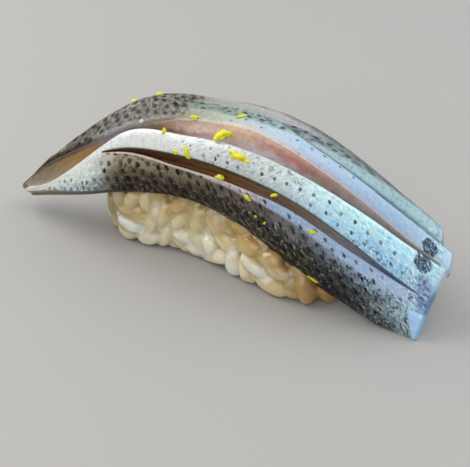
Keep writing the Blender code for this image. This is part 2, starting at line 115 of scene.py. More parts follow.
RICE_STATIONS = (
    (-23.5, -7.6, 3.0, 11.0),
    (-17.5, -10.0, 7.6, 20.5),
    (-10.0, -8.6, 9.0, 22.5),
    (-3.0, -7.6, 9.4, 23.3),
    (6.0, -8.6, 9.6, 23.5),
    (14.0, -10.0, 9.4, 22.8),
    (21.0, -10.2, 8.6, 20.0),
    (25.5, -8.4, 7.0, 15.0),
    (28.5, -3.4, 2.6, 8.0),
)
RICE_FULLNESS = 2.8
GRAIN_SIZE = (5.3, 3.3, 3.1)
SHOWN_WIDTH = 3.8
SHOWN_HEIGHT = 3.4

# Grains that the near side shows: x, height, turn in degrees, length and how white it is, partly white heart
# and partly painted highlight.
SHOWN_GRAINS = (
    (-21.8, 5.4, 108, 7.6, 0.0),
    (-16.7, 4.3, 172, 6.0, 1.0),
    (-12.2, 5.9, 71, 7.6, 0.4),
    (-17.5, 1.4, 172, 5.4, 0.0),
    (-13.1, 1.4, 5, 5.2, 0.5),
    (-9.3, 2.9, 69, 6.0, 0.2),
    (-16.3, 7.0, 9, 6.4, 0.0),
    (-9.3, 7.6, 81, 6.2, 0.1),
    (-5.5, 7.4, 49, 6.9, 0.1),
    (-4.9, 4.0, 172, 5.2, 0.6),
    (-1.6, 8.4, 76, 6.4, 0.2),
    (-1.7, 4.4, 138, 5.0, 0.3),
    (1.8, 3.6, 103, 5.4, 0.55),
    (-1.7, 1.4, 4, 5.4, 0.6),
    (2.9, 1.5, 16, 7.2, 0.2),
    (-5.5, 1.4, 144, 5.2, 0.0),
    (3.1, 9.2, 154, 6.0, 0.0),
    (5.7, 6.3, 150, 5.6, 0.0),
    (7.9, 2.6, 95, 5.8, 0.6),
    (11.2, 1.9, 94, 5.0, 0.1),
    (12.9, 4.6, 154, 6.8, 0.6),
    (11.2, 8.2, 168, 6.0, 0.0),
    (18.1, 5.8, 155, 5.4, 0.2),
    (16.8, 1.7, 174, 7.2, 0.1),
    (23.1, 2.6, 108, 6.0, 0.0),
    (26.0, 2.2, 115, 5.2, 0.0),
    (16.3, 7.2, 2, 5.2, 0.0),
    (22.1, 5.4, 148, 5.4, 0.0),
    (-5.9, 10.5, 32, 5.0, 0.0),
    (-19.2, 8.6, 100, 5.4, 0.1),
    (-16.2, 9.2, 70, 5.2, 0.1),
    (-13.0, 9.6, 110, 5.4, 0.1),
    (-15.0, 6.4, 150, 5.0, 0.1),
)
SEED = 11


# Form of the fillet

def cubic(x, knots, values):
    """A smooth curve through the stations' values."""
    knots = np.asarray(knots, float)
    values = np.asarray(values, float)
    steps = np.diff(knots)
    slopes = np.diff(values, axis=0) / steps[:, None]
    before, after = steps[:-1, None], steps[1:, None]
    inner = (slopes[:-1] * after + slopes[1:] * before) / (before + after)
    tangents = np.vstack([slopes[:1], inner, slopes[-1:]])
    place = int(np.clip(np.searchsorted(knots, x) - 1, 0, len(steps) - 1))
    h = steps[place]
    t = (x - knots[place]) / h
    start = (2 * t ** 3 - 3 * t ** 2 + 1) * values[place] + (t ** 3 - 2 * t ** 2 + t) * h * tangents[place]
    end = (-2 * t ** 3 + 3 * t ** 2) * values[place + 1] + (t ** 3 - t ** 2) * h * tangents[place + 1]
    return start + end


def flat_station(station):
    """A station's numbers in one row."""
    row = []
    for value in station[1:]:
        row.extend(value if isinstance(value, tuple) else (value,))
    return row


STATION_X = [station[0] for station in STATIONS]
STATION_VALUES = [flat_station(station) for station in STATIONS]


class Section:
    """The fillet's section at any x: its lines across, and its skin and underside as two arches."""

    def __init__(self, x):
        v = cubic(x, STATION_X, STATION_VALUES)
        self.ridge_y, self.ridge_z = v[0], v[1]
        self.sides = {-1: (v[2], v[3]), 1: (v[4], v[5])}
        self.wall_z = v[6]
        self.thick_top, self.thick_side = v[15], v[16]
        strips = np.maximum(v[8:12], 0.4)
        cuts = np.maximum(v[12:15], 0.3)
        far_rim = -v[7]
        near_rim = far_rim - cuts[1]
        ab_far = near_rim - strips[1]
        ab_near = ab_far - cuts[0]
        cd_near = far_rim + strips[2]
        cd_far = cd_near + cuts[2]
        near_edge, far_edge = ab_near - strips[0], cd_far + strips[3]
        self.lines = (near_edge, ab_near, ab_far, near_rim, far_rim, cd_near, cd_far, far_edge)

    def arch(self, side):
        """Lengths along the skin from the ridge down one side, and the skin's and the underside's y and z."""
        width, fullness = self.sides[side]
        turn = np.linspace(0, math.pi / 2, ARCH_STEPS)
        out = np.sin(turn) ** (2 / fullness)
        up = np.cos(turn) ** (2 / fullness)
        up[-1] = 0.0
        drop = np.linspace(*WALL_REACH, ARCH_STEPS // 2)
        curl = WALL_TUCK * drop ** 2
        inner = width - self.thick_side
        skin_y = np.concatenate([width * out, width - curl])
        skin_z = np.concatenate([self.wall_z + (self.ridge_z - self.wall_z) * up, self.wall_z - drop])
        under_y = np.concatenate([inner * out, inner - curl])
        rise = self.ridge_z - self.thick_top - self.wall_z
        under_z = np.concatenate([self.wall_z + rise * up, self.wall_z - drop])
        along = np.concatenate([[0], np.cumsum(np.hypot(np.diff(skin_y), np.diff(skin_z)))])
        return along, skin_y, skin_z, under_y, under_z


class Form:
    """The fillet's skin and underside, read from fine tables by place along and across it."""

    STEP_X, STEP_ACROSS = 0.25, 0.2
    X = np.arange(-48.0, 48.01, STEP_X)
    ACROSS = np.arange(-45.0, 45.01, STEP_ACROSS)

    def __init__(self):
        sections = [Section(x) for x in self.X]
        self.lines = np.array([section.lines for section in sections])
        self.table = np.array([self.profile(section) for section in sections])

    def profile(self, section):
        """Skin y, z and underside y, z of one section at every place across."""
        columns = np.empty((len(self.ACROSS), 4))
        for side in (-1, 1):
            along, *curves = section.arch(side)
            chosen = self.ACROSS < 0 if side < 0 else self.ACROSS >= 0
            place = np.abs(self.ACROSS[chosen])
            for column, curve in enumerate(curves):
                value = np.interp(place, along, curve)
                columns[chosen, column] = value if column % 2 else section.ridge_y + side * value
        return columns

    def line(self, name, x):
        """Place across of one line at each x."""
        return np.interp(x, self.X, self.lines[:, LINES.index(name)])

    def read(self, x, across):
        """Skin y, z and underside y, z at each place along and across."""
        i = np.clip((x - self.X[0]) / self.STEP_X, 0, len(self.X) - 1.001)
        j = np.clip((across - self.ACROSS[0]) / self.STEP_ACROSS, 0, len(self.ACROSS) - 1.001)
        i0, j0 = i.astype(int), j.astype(int)
        u, v = (i - i0)[:, None], (j - j0)[:, None]
        low = self.table[i0, j0] * (1 - v) + self.table[i0, j0 + 1] * v
        high = self.table[i0 + 1, j0] * (1 - v) + self.table[i0 + 1, j0 + 1] * v
        return low * (1 - u) + high * u

    def place(self, x, across, depth):
        """Points in the fillet, a share of its thickness below the skin."""
        y, z, under_y, under_z = self.read(x, across).T
        return np.column_stack([x, y + (under_y - y) * depth, z + (under_z - z) * depth])

    def normal(self, x, across):
        """Unit normals of the skin, pointing out."""
        reach = SLOPE_REACH
        along = self.place(x + reach, across, 0.0) - self.place(x - reach, across, 0.0)
        sideways = self.place(x, across + reach, 0.0) - self.place(x, across - reach, 0.0)
        found = np.cross(along, sideways)
        return found / np.linalg.norm(found, axis=1)[:, None]


form = Form()


def cut_depth(cut, x):
    """Depth of a cut at each x: full along its reach, and running out at both of its ends."""
    start, end = CUT_REACH[cut]
    share = np.clip(np.minimum((x - start) / CUT_RUN_OUT, (end - x) / CUT_RUN_OUT), 0.0, 1.0)
    return CUT_DEPTH[cut] * np.sin(share * math.pi / 2)


def eased(count):
    """Shares from 0 to 1 that lie closer together at both ends."""
    return [0.5 - 0.5 * math.cos(math.pi * step / count) for step in range(count)]


# The strips and the cuts between them, each with the two lines that it lies between.
PART_LINES = {
    "a": ("near_edge", "rim_ab_near"),
    "ab": ("rim_ab_near", "rim_ab_far"),
    "b": ("rim_ab_far", "rim_bc_near"),
    "bc": ("rim_bc_near", "rim_bc_far"),
    "c": ("rim_bc_far", "rim_cd_near"),
    "cd": ("rim_cd_near", "rim_cd_far"),
    "d": ("rim_cd_far", "far_edge"),
}
PARTS = ("a", "b", "c", "d", "ab", "bc", "cd")
STRIPS = 4  # the first four parts are strips, the others are cuts


def sheet_rows():
    """The skin's rows from the near to the far edge: part, line before, line after and the share between."""
    rows = []
    for part, (before, after) in PART_LINES.items():
        count = STRIP_ROWS.get(part) or CUT_ROWS[part]
        rows += [(part, before, after, share) for share in eased(count)]
    rows.append(("d", *PART_LINES["d"], 1.0))
    return rows


ROWS = sheet_rows()


def wall_profile(cut, share):
    """A cut's depth between its rims: a steep near wall, a flat floor and a leaning far wall."""
    near, far = WALL_SHARES[cut]
    down = np.clip(share / near, 0, 1) ** 0.6
    up = np.clip((1 - share) / far, 0, 1) ** 0.75
    return np.minimum(down, up)


def wavy(points, size, seed):
    """Even noise from -1 to 1 at each point."""
    shift = Vector((seed * 17.3, seed * 5.1, 0))
    return np.array([relief.noise(Vector(point) / size + shift) for point in points])


# Helpers for objects and meshes

def deselect():
    """Leave nothing selected, so that an operator acts on the new mesh alone."""
    bpy.ops.object.select_all(action="DESELECT")


def metres(points):
    """Points of the fillet's frame, in the row frame and in metres."""
    return (np.asarray(points) + np.array(SHIFT)) * MM


def set_points(made, points):
    """Give a mesh its points, which are in metres."""
    made.data.vertices.foreach_set("co", np.asarray(points, np.float32).ravel())
    made.data.update()


def add_field(made, name, values, domain="POINT"):
    """Store one number for each point or face corner of the mesh."""
    field = made.data.attributes.new(name, "FLOAT", domain)
    field.data.foreach_set("value", np.asarray(values, np.float32))


def smooth_shade(made):
    """Shade a mesh smooth all over."""
    made.data.polygons.foreach_set("use_smooth", np.ones(len(made.data.polygons), bool))


def piece_ready(made, node):
    """Let a finished piece ride on the body and stand for its solid."""
    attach(made, "root")
    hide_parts(node)


# The fillet

# The loose flap of skin at the head end's near corner: its two ends (x, across), and its widths there.
FLAP_FROM = (43.7, -15.0)
FLAP_TO = (45.3, -19.6)
FLAP_WIDTHS = (3.4, 1.9)
FLAP_LIFT = 0.35
FLAP_SOFT = 0.5


def flap_share(x, across):
    """1 on the flap, 0 off it and a soft step at its outline."""
    run = np.subtract(FLAP_TO, FLAP_FROM)
    length = np.hypot(*run)
    along, sideways = run / length, np.array((-run[1], run[0])) / length
    away = np.column_stack([x - FLAP_FROM[0], across - FLAP_FROM[1]])
    place = away @ along
    half = np.interp(place, (0, length), FLAP_WIDTHS) / 2
    inside = np.minimum(half - np.abs(away @ sideways), np.minimum(place, length + 1.0 - place))
    share = np.clip(inside / FLAP_SOFT, 0, 1)
    return share * share * (3 - 2 * share)


def grid_block():
    """A flat grid of the sheet's columns and rows, extruded up by the edge's layers into a closed block."""
    deselect()
    bpy.ops.mesh.primitive_grid_add(x_subdivisions=SHEET_COLUMNS, y_subdivisions=len(ROWS) - 1, size=1)
    made = bpy.context.object
    bpy.ops.object.mode_set(mode="EDIT")
    bpy.ops.mesh.select_all(action="SELECT")
    for _ in range(EDGE_LAYERS):
        bpy.ops.mesh.extrude_region_move(TRANSFORM_OT_translate={"value": (0, 0, 1)})
    bpy.ops.mesh.select_all(action="SELECT")
    bpy.ops.mesh.normals_make_consistent(inside=False)
    bpy.ops.object.mode_set(mode="OBJECT")
    return made


def block_places(made):
    """Column, row and layer of every point of the block."""
    points = np.empty(len(made.data.vertices) * 3, np.float32)
    made.data.vertices.foreach_get("co", points)
    x, y, z = points.reshape(-1, 3).T
    column = np.rint((x + 0.5) * SHEET_COLUMNS).astype(int)
    row = np.rint((y + 0.5) * (len(ROWS) - 1)).astype(int)
    layer = np.rint(z).astype(int)
    return column, row, layer


def row_values(row):
    """Part, share and the x of both ends of each point's row."""
    part = np.array([PARTS.index(entry[0]) for entry in ROWS])[row]
    share = np.array([entry[3] for entry in ROWS])[row]
    tail = np.array([TAIL_X[b] + (TAIL_X[a] - TAIL_X[b]) * s for _, b, a, s in ROWS])[row]
    head = np.array([HEAD_X[b] + (HEAD_X[a] - HEAD_X[b]) * s for _, b, a, s in ROWS])[row]
    return part, share, tail, head


def across_of(row, x):
    """Place across of each point, between its row's two lines."""
    across = np.empty(len(x))
    before_at = np.empty(len(x))
    after_at = np.empty(len(x))
    for index, (_, before, after, share) in enumerate(ROWS):
        chosen = row == index
        low, high = form.line(before, x[chosen]), form.line(after, x[chosen])
        across[chosen] = low + (high - low) * share
        before_at[chosen], after_at[chosen] = low, high
    return across, before_at, after_at


def rim_drop(from_rim):
    """How far the skin rounds down close to a rim."""
    near = np.clip(1 - from_rim / RIM_ROUND, 0, 1)
    return RIM_ROUND * 0.45 * (1 - np.sqrt(1 - near ** 2 * 0.999))


# Unevenness of the skin: its height, the size of its bumps and its seed.
UNEVEN = ((0.16, 5.0, 1), (0.07, 1.8, 2))
FISH_FLOOR = 0.02  # the lowest that the fillet comes, in mm


def edge_share(x, across):
    """The thickness at each point as a share of the full one, less towards both edges."""
    near_gap = across - form.line("near_edge", x)
    far_gap = form.line("far_edge", x) - across
    rise = np.clip(np.minimum(near_gap, far_gap) / EDGE_REACH, 0, 1)
    return EDGE_SHARE + (1 - EDGE_SHARE) * rise


def cut_depths(part, share, x, whole):
    """How deep each point lies below the skin, and how deep the cut is there, as shares of the thickness."""
    depth, cut_share = np.zeros(len(x)), np.zeros(len(x))
    for cut in CUT_ROWS:
        chosen = part == PARTS.index(cut)
        cut_share[chosen] = cut_depth(cut, x[chosen])
        depth[chosen] = cut_share[chosen] * whole[chosen] * wall_profile(cut, share[chosen])
    return depth, cut_share


def edge_bulge(column, row, level):
    """How far the edges stand out in a half round, along and across the fillet."""
    bulge = EDGE_BULGE * np.sin(np.pi * level)
    lengthways = np.where(column == 0, -bulge, np.where(column == SHEET_COLUMNS, bulge, 0.0))
    sideways = np.where(row == 0, -bulge, np.where(row == len(ROWS) - 1, bulge, 0.0))
    return lengthways, sideways


def skin_lift(x, across, part, share, low, high, open_ab):
    """Strips are crowned between their rims, rounded at open ones, and a little uneven all over."""
    open_cd = cut_depth("cd", x) / CUT_DEPTH["cd"]
    width = np.maximum(high - low, 0.5)
    crown = STRIP_CROWN * np.clip(width / 4, 0.3, 1) * (1 - (2 * share - 1) ** 2)
    near_rim = np.where(part == PARTS.index("b"), open_ab, np.where(part == PARTS.index("d"), open_cd, 1.0))
    far_rim = np.where(part == PARTS.index("a"), open_ab, np.where(part == PARTS.index("c"), open_cd, 1.0))
    drop = rim_drop(across - low) * near_rim + rim_drop(high - across) * far_rim
    lift = np.where(part < STRIPS, crown * np.minimum(near_rim, far_rim) - drop, 0.0)
    rough_place = np.column_stack([x, across, np.zeros(len(x))])
    lift += sum(height * wavy(rough_place, size, seed) for height, size, seed in UNEVEN)
    return lift + FLAP_LIFT * flap_share(x, across)


def make_fillet():
    """The whole fillet as one dense closed sheet, with its places stored for the materials."""
    made = grid_block()
    made.name = "fillet"
    column, row, layer = block_places(made)
    part, share, tail, head = row_values(row)
    x = tail + (head - tail) * column / SHEET_COLUMNS
    across, low, high = across_of(row, x)

    # The block's layers go from the underside, at 0, to the skin, at 1.
    level = layer / EDGE_LAYERS
    whole = edge_share(x, across)
    depth, cut_share = cut_depths(part, share, x, whole)
    lengthways, sideways = edge_bulge(column, row, level)
    points = form.place(x, across + sideways, whole + (depth - whole) * level)
    points[:, 0] += lengthways
    open_ab = cut_depth("ab", x) / CUT_DEPTH["ab"]
    lift = skin_lift(x, across, part, share, low, high, open_ab)
    points += form.normal(x, across) * (lift * level)[:, None]
    points[:, 2] = np.maximum(points[:, 2], FISH_FLOOR)

    set_points(made, metres(points))
    add_field(made, "along", x)
    add_field(made, "across", across)
    add_field(made, "open_ab", open_ab)
    paint_faces(made, x, across, row, layer, cut_share)
    smooth_shade(made)
    return made


CLOSED_CUT = 0.04  # a cut shallower than this share of the thickness is skin


def face_parts(corners, row, cut_share):
    """The part that each face shows, where a closed cut shows the strip beyond it."""
    row_part = np.array([PARTS.index(entry[0]) for entry in ROWS])
    shown = row_part[row[corners].min(axis=1)]
    closed = cut_share[corners].max(axis=1) < CLOSED_CUT
    for cut in CUT_ROWS:
        shown[closed & (shown == PARTS.index(cut))] = PARTS.index(cut[-1])
    return shown


def paint_faces(made, x, across, row, layer, cut_share):
    """Give each face its look, and store where each of its corners lies between its part's rims."""
    strips = (near_skin(), belly_skin(), middle_skin(), far_skin())
    cuts = (flesh_ab(), flesh_bc(), flesh_cd())
    for look in (*strips, *cuts, underside()):
        made.data.materials.append(look)
    corners = np.empty(len(made.data.loops), np.int32)
    made.data.loops.foreach_get("vertex_index", corners)
    shown = face_parts(corners.reshape(-1, 4), row, cut_share)
    top = layer[corners.reshape(-1, 4)].min(axis=1) == EDGE_LAYERS
    index = np.where(top, shown, len(PARTS))
    made.data.polygons.foreach_set("material_index", index.astype(np.int32))

    corner_part = np.repeat(shown, 4)
    low, high = np.empty(len(corners)), np.empty(len(corners))
    for number, part in enumerate(PARTS):
        chosen = corner_part == number
        before, after = PART_LINES[part]
        low[chosen] = form.line(before, x[corners[chosen]])
        high[chosen] = form.line(after, x[corners[chosen]])
    place = across[corners]
    add_field(made, "from_near_rim", place - low, "CORNER")
    add_field(made, "from_far_rim", high - place, "CORNER")
    add_field(made, "share", (place - low) / np.maximum(high - low, 0.2), "CORNER")


# Shader building

def put(tree, kind, inputs=(), **settings):
    """Add a node with its settings, and link or set its inputs."""
    made = tree.nodes.new(kind)
    for name, value in settings.items():
        setattr(made, name, value)
    for key, value in dict(inputs).items():
        join(tree, value, made.inputs[key])
    return made


def join(tree, value, socket):
    """Link a socket, or set it to a plain value."""
    if isinstance(value, bpy.types.NodeSocket):
        tree.links.new(value, socket)
    elif isinstance(value, (tuple, list)) and socket.type == "RGBA":
        socket.default_value = (*value[:3], 1.0)
    else:
        socket.default_value = value


def calc(tree, operation, *values):
    """One math node's result."""
    return put(tree, "ShaderNodeMath", enumerate(values), operation=operation).outputs[0]


def times(tree, first, second):
    """Two numbers multiplied."""
    return calc(tree, "MULTIPLY", first, second)


def plus(tree, first, second):
    """Two numbers added."""
    return calc(tree, "ADD", first, second)


def minus(tree, first, second):
    """The second number taken from the first."""
    return calc(tree, "SUBTRACT", first, second)


def over(tree, first, second):
    """The first number divided by the second."""
    return calc(tree, "DIVIDE", first, second)


def step(tree, value, low, high):
    """A smooth step from 0 at low to 1 at high."""
    reach = {"Value": value, "From Min": low, "From Max": high}
    return put(tree, "ShaderNodeMapRange", reach, interpolation_type="SMOOTHSTEP").outputs["Result"]


def tint(tree, share, first, second, kind="MIX"):
    """Two colours mixed by a share."""
    made = put(tree, "ShaderNodeMix", data_type="RGBA", blend_type=kind, clamp_factor=True)
    colours = [socket for socket in made.inputs if socket.type == "RGBA"]
    join(tree, share, made.inputs[0])
    join(tree, first, colours[0])
    join(tree, second, colours[1])
    return [socket for socket in made.outputs if socket.type == "RGBA"][0]


def srgb(red, green, blue):
    """A colour as seen on a screen, from 0 to 255, in the renderer's values."""
    values = [value / 255 for value in (red, green, blue)]
    return tuple(v / 12.92 if v <= 0.04045 else ((v + 0.055) / 1.055) ** 2.4 for v in values)


def ramp(tree, value, stops):
    """Colours along a value: each stop is its place and a screen colour."""
    low, high = stops[0][0], stops[-1][0]
    share = spread(tree, value, low, high, 0.0, 1.0)
    made = put(tree, "ShaderNodeValToRGB", {"Fac": share})
    band = made.color_ramp.elements
    while len(band) < len(stops):
        band.new(0.5)
    for element, (place, colour) in zip(band, stops):
        element.position = (place - low) / (high - low)
        element.color = (*srgb(*colour), 1.0)
    return made.outputs["Color"]


def spread(tree, value, low, high, first, last):
    """A number that goes from first at low to last at high."""
    reach = {"Value": value, "From Min": low, "From Max": high, "To Min": first, "To Max": last}
    return put(tree, "ShaderNodeMapRange", reach).outputs["Result"]


def field(tree, name):
    """A number stored on the mesh."""
    return put(tree, "ShaderNodeAttribute", attribute_name=name).outputs["Fac"]


def spot(tree, along, across, along_scale=1.0, across_scale=1.0):
    """A texture place from the two skin coordinates."""
    made = put(tree, "ShaderNodeCombineXYZ", {"X": times(tree, along, along_scale),
                                             "Y": times(tree, across, across_scale)})
    return made.outputs[0]


def cloud(tree, place, scale, detail=2.0, roughness=0.5):
    """Noise from 0 to 1."""
    values = {"Vector": place, "Scale": scale, "Detail": detail, "Roughness": roughness}
    return put(tree, "ShaderNodeTexNoise", values).outputs["Fac"]


def arrows(tree, operation, first, second, output="Vector"):
    """One vector math node's result."""
    return put(tree, "ShaderNodeVectorMath", {0: first, 1: second}, operation=operation).outputs[output]


def group_tree(name, inputs, outputs):
    """An empty node group with named inputs and outputs, which are all numbers."""
    tree = bpy.data.node_groups.new(name, "ShaderNodeTree")
    for label in inputs:
        tree.interface.new_socket(label, in_out="INPUT", socket_type="NodeSocketFloat")
    for label in outputs:
        tree.interface.new_socket(label, in_out="OUTPUT", socket_type="NodeSocketFloat")
    return tree, tree.nodes.new("NodeGroupInput"), tree.nodes.new("NodeGroupOutput")


def use_group(tree, group, inputs):
    """Place a node group with its own values."""
    made = put(tree, "ShaderNodeGroup", node_tree=group)
    for key, value in inputs.items():
        join(tree, value, made.inputs[key])
    return made.outputs


def new_look(name):
    """A new material, with its node tree and its shader."""
    look = bpy.data.materials.new(name)
    look.use_nodes = True
    return look, look.node_tree, look.node_tree.nodes["Principled BSDF"]


def finish_look(shader, colour, relief_height, distance, values):
    """Give a shader its colour, its fine relief and its plain values."""
    tree = shader.id_data
    bump = put(tree, "ShaderNodeBump", {"Height": relief_height, "Distance": distance})
    join(tree, colour, shader.inputs["Base Color"])
    join(tree, bump.outputs[0], shader.inputs["Normal"])
    for name, value in values.items():
        shader.inputs[name].default_value = value


def scale_dots_group():
    """Staggered rows of ragged dark dots, one in each scale pocket, with a random number for each."""
    tree, start, end = group_tree(
        "scale dots",
        ("Along", "Across", "Pitch Along", "Pitch Across", "Size", "Stretch", "Slant", "Wander", "Missing"),
        ("Mask", "Pocket"))
    get = start.outputs
    v = over(tree, get["Across"], get["Pitch Across"])
    row = calc(tree, "FLOOR", v)
    shifted = calc(tree, "FRACT", times(tree, row, 0.5))
    u = plus(tree, over(tree, get["Along"], get["Pitch Along"]), shifted)
    cell = put(tree, "ShaderNodeCombineXYZ", {"X": calc(tree, "FLOOR", u), "Y": row})
    chance = put(tree, "ShaderNodeTexWhiteNoise", {"Vector": cell.outputs[0]}, noise_dimensions="3D")
    parts = put(tree, "ShaderNodeSeparateColor", {"Color": chance.outputs["Color"]})
    offsets = []
    for value, draw, pitch in ((u, "Red", "Pitch Along"), (v, "Green", "Pitch Across")):
        inside = times(tree, minus(tree, calc(tree, "FRACT", value), 0.5), get[pitch])
        wander = times(tree, minus(tree, parts.outputs[draw], 0.5), get["Wander"])
        offsets.append(plus(tree, inside, wander))
    slanted = calc(tree, "MULTIPLY_ADD", offsets[1], get["Slant"], offsets[0])
    wide = over(tree, slanted, get["Size"])
    tall = over(tree, offsets[1], times(tree, get["Size"], get["Stretch"]))
    reach = calc(tree, "SQRT", plus(tree, calc(tree, "POWER", wide, 2.0), calc(tree, "POWER", tall, 2.0)))
    ragged = minus(tree, cloud(tree, spot(tree, get["Along"], get["Across"]), 2.4, 2.0), 0.5)
    reach = calc(tree, "MULTIPLY_ADD", ragged, 1.3, reach)
    kept = calc(tree, "GREATER_THAN", chance.outputs["Value"], get["Missing"])
    strength = calc(tree, "MULTIPLY_ADD", parts.outputs["Blue"], 0.35, 0.65)
    dot = times(tree, step(tree, reach, 1.15, 0.55), times(tree, kept, strength))
    tree.links.new(dot, end.inputs["Mask"])
    tree.links.new(step(tree, reach, 0.3, 2.6), end.inputs["Pocket"])
    return tree


def strokes_group():
    """Fine short strokes, pale and dark ones apart, that lie at a slant to the fillet's length."""
    tree, start, end = group_tree(
        "strokes", ("Along", "Across", "Fineness", "Across Scale", "Slant"), ("Pale", "Dark"))
    get = start.outputs
    leaning = calc(tree, "MULTIPLY_ADD", get["Across"], get["Slant"], get["Along"])
    place = spot(tree, leaning, get["Across"], 1.0, get["Across Scale"])
    moved = arrows(tree, "ADD", place, (31.0, 7.0, 3.0))
    for label, where in (("Pale", place), ("Dark", moved)):
        fine = cloud(tree, where, get["Fineness"], 3.0, 0.6)
        tree.links.new(step(tree, fine, 0.5, 0.66), end.inputs[label])
    return tree


def winding_group():
    """Short thin winding flecks, as on scales that are half rubbed off."""
    tree, start, end = group_tree("winding flecks", ("Along", "Across", "Fineness", "Width"), ("Mask",))
    get = start.outputs
    place = spot(tree, get["Along"], get["Across"])
    lines = cloud(tree, place, get["Fineness"], 1.0)
    away = calc(tree, "ABSOLUTE", minus(tree, lines, 0.5))
    line = step(tree, over(tree, away, get["Width"]), 1.0, 0.2)
    breaks = cloud(tree, arrows(tree, "ADD", place, (13.0, 5.0, 9.0)), get["Fineness"])
    tree.links.new(times(tree, line, step(tree, breaks, 0.42, 0.56)), end.inputs["Mask"])
    return tree


def zone_group():
    """A soft box between two values."""
    tree, start, end = group_tree("zone", ("Value", "From", "To", "Soft"), ("Mask",))
    get = start.outputs
    rise = over(tree, minus(tree, get["Value"], get["From"]), get["Soft"])
    fall = over(tree, minus(tree, get["To"], get["Value"]), get["Soft"])
    inside = calc(tree, "MINIMUM", rise, fall)
    tree.links.new(step(tree, inside, -0.5, 0.5), end.inputs["Mask"])
    return tree


DOTS = scale_dots_group()
STROKES = strokes_group()
WINDING = winding_group()
ZONE = zone_group()

EVERYWHERE = 60.0  # beyond the fillet's ends and edges, in mm


class Skin:
    """One strip's skin while its colours are laid on one by one."""

    def __init__(self, name):
        self.look, self.tree, self.shader = new_look(name)
        self.along = field(self.tree, "along")
        self.across = field(self.tree, "across")
        self.share = field(self.tree, "share")
        self.near = field(self.tree, "from_near_rim")
        self.far = field(self.tree, "from_far_rim")
        self.place = spot(self.tree, self.along, self.across)
        drift = minus(self.tree, cloud(self.tree, self.place, 0.32, 3.0), 0.5)
        self.wander = calc(self.tree, "MULTIPLY_ADD", drift, 6.0, self.along)
        self.uneven = calc(self.tree, "MULTIPLY_ADD", drift, 0.3, self.share)
        self.colour = (0.5, 0.5, 0.5)
        self.height = 0.0

    def zone(self, value, low, high, soft):
        """A soft mask where a value lies between two others."""
        return use_group(self.tree, ZONE, {"Value": value, "From": low, "To": high, "Soft": soft})["Mask"]

    def stretch_of(self, low, high, soft=2.0):
        """A soft mask of a stretch of the fillet's length."""
        return self.zone(self.wander, low, high, soft)

    def both(self, *masks):
        """Masks multiplied."""
        share = masks[0]
        for mask in masks[1:]:
            share = times(self.tree, share, mask)
        return share

    def bands(self, *bands):
        """Colours along the strip, given at a few shares of its width and blended between them."""
        self.colour = ramp(self.tree, self.wander, bands[0][1])
        for (share, _), (later, stops) in zip(bands, bands[1:]):
            reach = step(self.tree, self.uneven, share, later)
            self.colour = tint(self.tree, reach, self.colour, ramp(self.tree, self.wander, stops))

    def lay(self, colour, strength, *masks):
        """Lay a screen colour over what is there, where all of the masks let it show."""
        self.colour = tint(self.tree, self.both(*masks, strength), self.colour, srgb(*colour))

    def scratch(self, marks, coats, *masks):
        """Lay the pale and the dark strokes of one set, each with a screen colour and a strength."""
        for kind, (colour, strength) in coats.items():
            self.lay(colour, strength, marks[kind], *masks)

    def spots(self, across, pitch, size, stretch, wander=0.6, missing=0.0, slant=0.0, shift=0.0):
        """Rows of scale dots."""
        return use_group(self.tree, DOTS, {
            "Along": plus(self.tree, self.along, shift), "Across": across, "Pitch Along": pitch[0],
            "Pitch Across": pitch[1], "Size": size, "Stretch": stretch, "Slant": slant, "Wander": wander,
            "Missing": missing})

    def spot_row(self, line, pitch, size, start, stop):
        """One row of scale dots, at a distance from the near rim."""
        beside = plus(self.tree, minus(self.tree, self.near, line), EVERYWHERE / 2)
        row = self.spots(beside, (pitch, EVERYWHERE), size, 1.15, 0.5, 0.04)
        return self.both(row["Mask"], self.zone(self.along, start, stop, 0.5))

    def strokes(self, fineness, across_scale, slant=0.0):
        """Fine strokes."""
        return use_group(self.tree, STROKES, {
            "Along": self.along, "Across": self.across, "Fineness": fineness, "Across Scale": across_scale,
            "Slant": slant})

    def winding(self, fineness, width):
        """Winding flecks."""
        return use_group(self.tree, WINDING, {
            "Along": self.along, "Across": self.across, "Fineness": fineness, "Width": width})["Mask"]

    def disc(self, x, across, radius, ragged=0.8):
        """A ragged round patch."""
        away = arrows(self.tree, "DISTANCE", self.place, (x, across, 0.0), "Value")
        rough = minus(self.tree, cloud(self.tree, self.place, 1.1, 2.0), 0.5)
        reach = calc(self.tree, "MULTIPLY_ADD", rough, ragged * 2 * radius, away)
        return step(self.tree, reach, radius * 1.12, radius * 0.88)

    def bar(self, start, stop, widths, soft=0.3):
        """A straight patch between two places, with a width at each end."""
        tree = self.tree
        run = Vector(stop) - Vector(start)
        away = arrows(tree, "SUBTRACT", self.place, (*start, 0.0))
        sides = (run.normalized(), Vector((-run.y, run.x)).normalized())
        place, beside = (arrows(tree, "DOT_PRODUCT", away, (*side, 0.0), "Value") for side in sides)
        half = spread(tree, place, 0.0, run.length, widths[0] / 2, widths[1] / 2)
        inside = minus(tree, half, calc(tree, "ABSOLUTE", beside))
        return self.both(self.zone(inside, 0.0, EVERYWHERE, soft), self.zone(place, 0.0, run.length, soft))

    def finish(self, metal, coat, distance, shine):
        """Wire the colours and the relief to the shader, and set its gloss."""
        fine = cloud(self.tree, self.place, 2.6, 3.0, 0.6)
        height = calc(self.tree, "MULTIPLY_ADD", fine, 0.6, self.height)
        finish_look(self.shader, self.colour, height, distance, {
            "Roughness": 0.3, "Metallic": metal, "Coat Weight": coat, "Coat Roughness": 0.2,
            "Specular IOR Level": shine})
        return self.look


# The marks of the head end: two dark blotches (x, across, radius), and a dark streak between two places.
BLOTCHES = ((42.2, -4.1, 1.45), (42.1, -7.2, 1.6))
STREAK = ((42.8, -9.0), (45.0, -13.6))


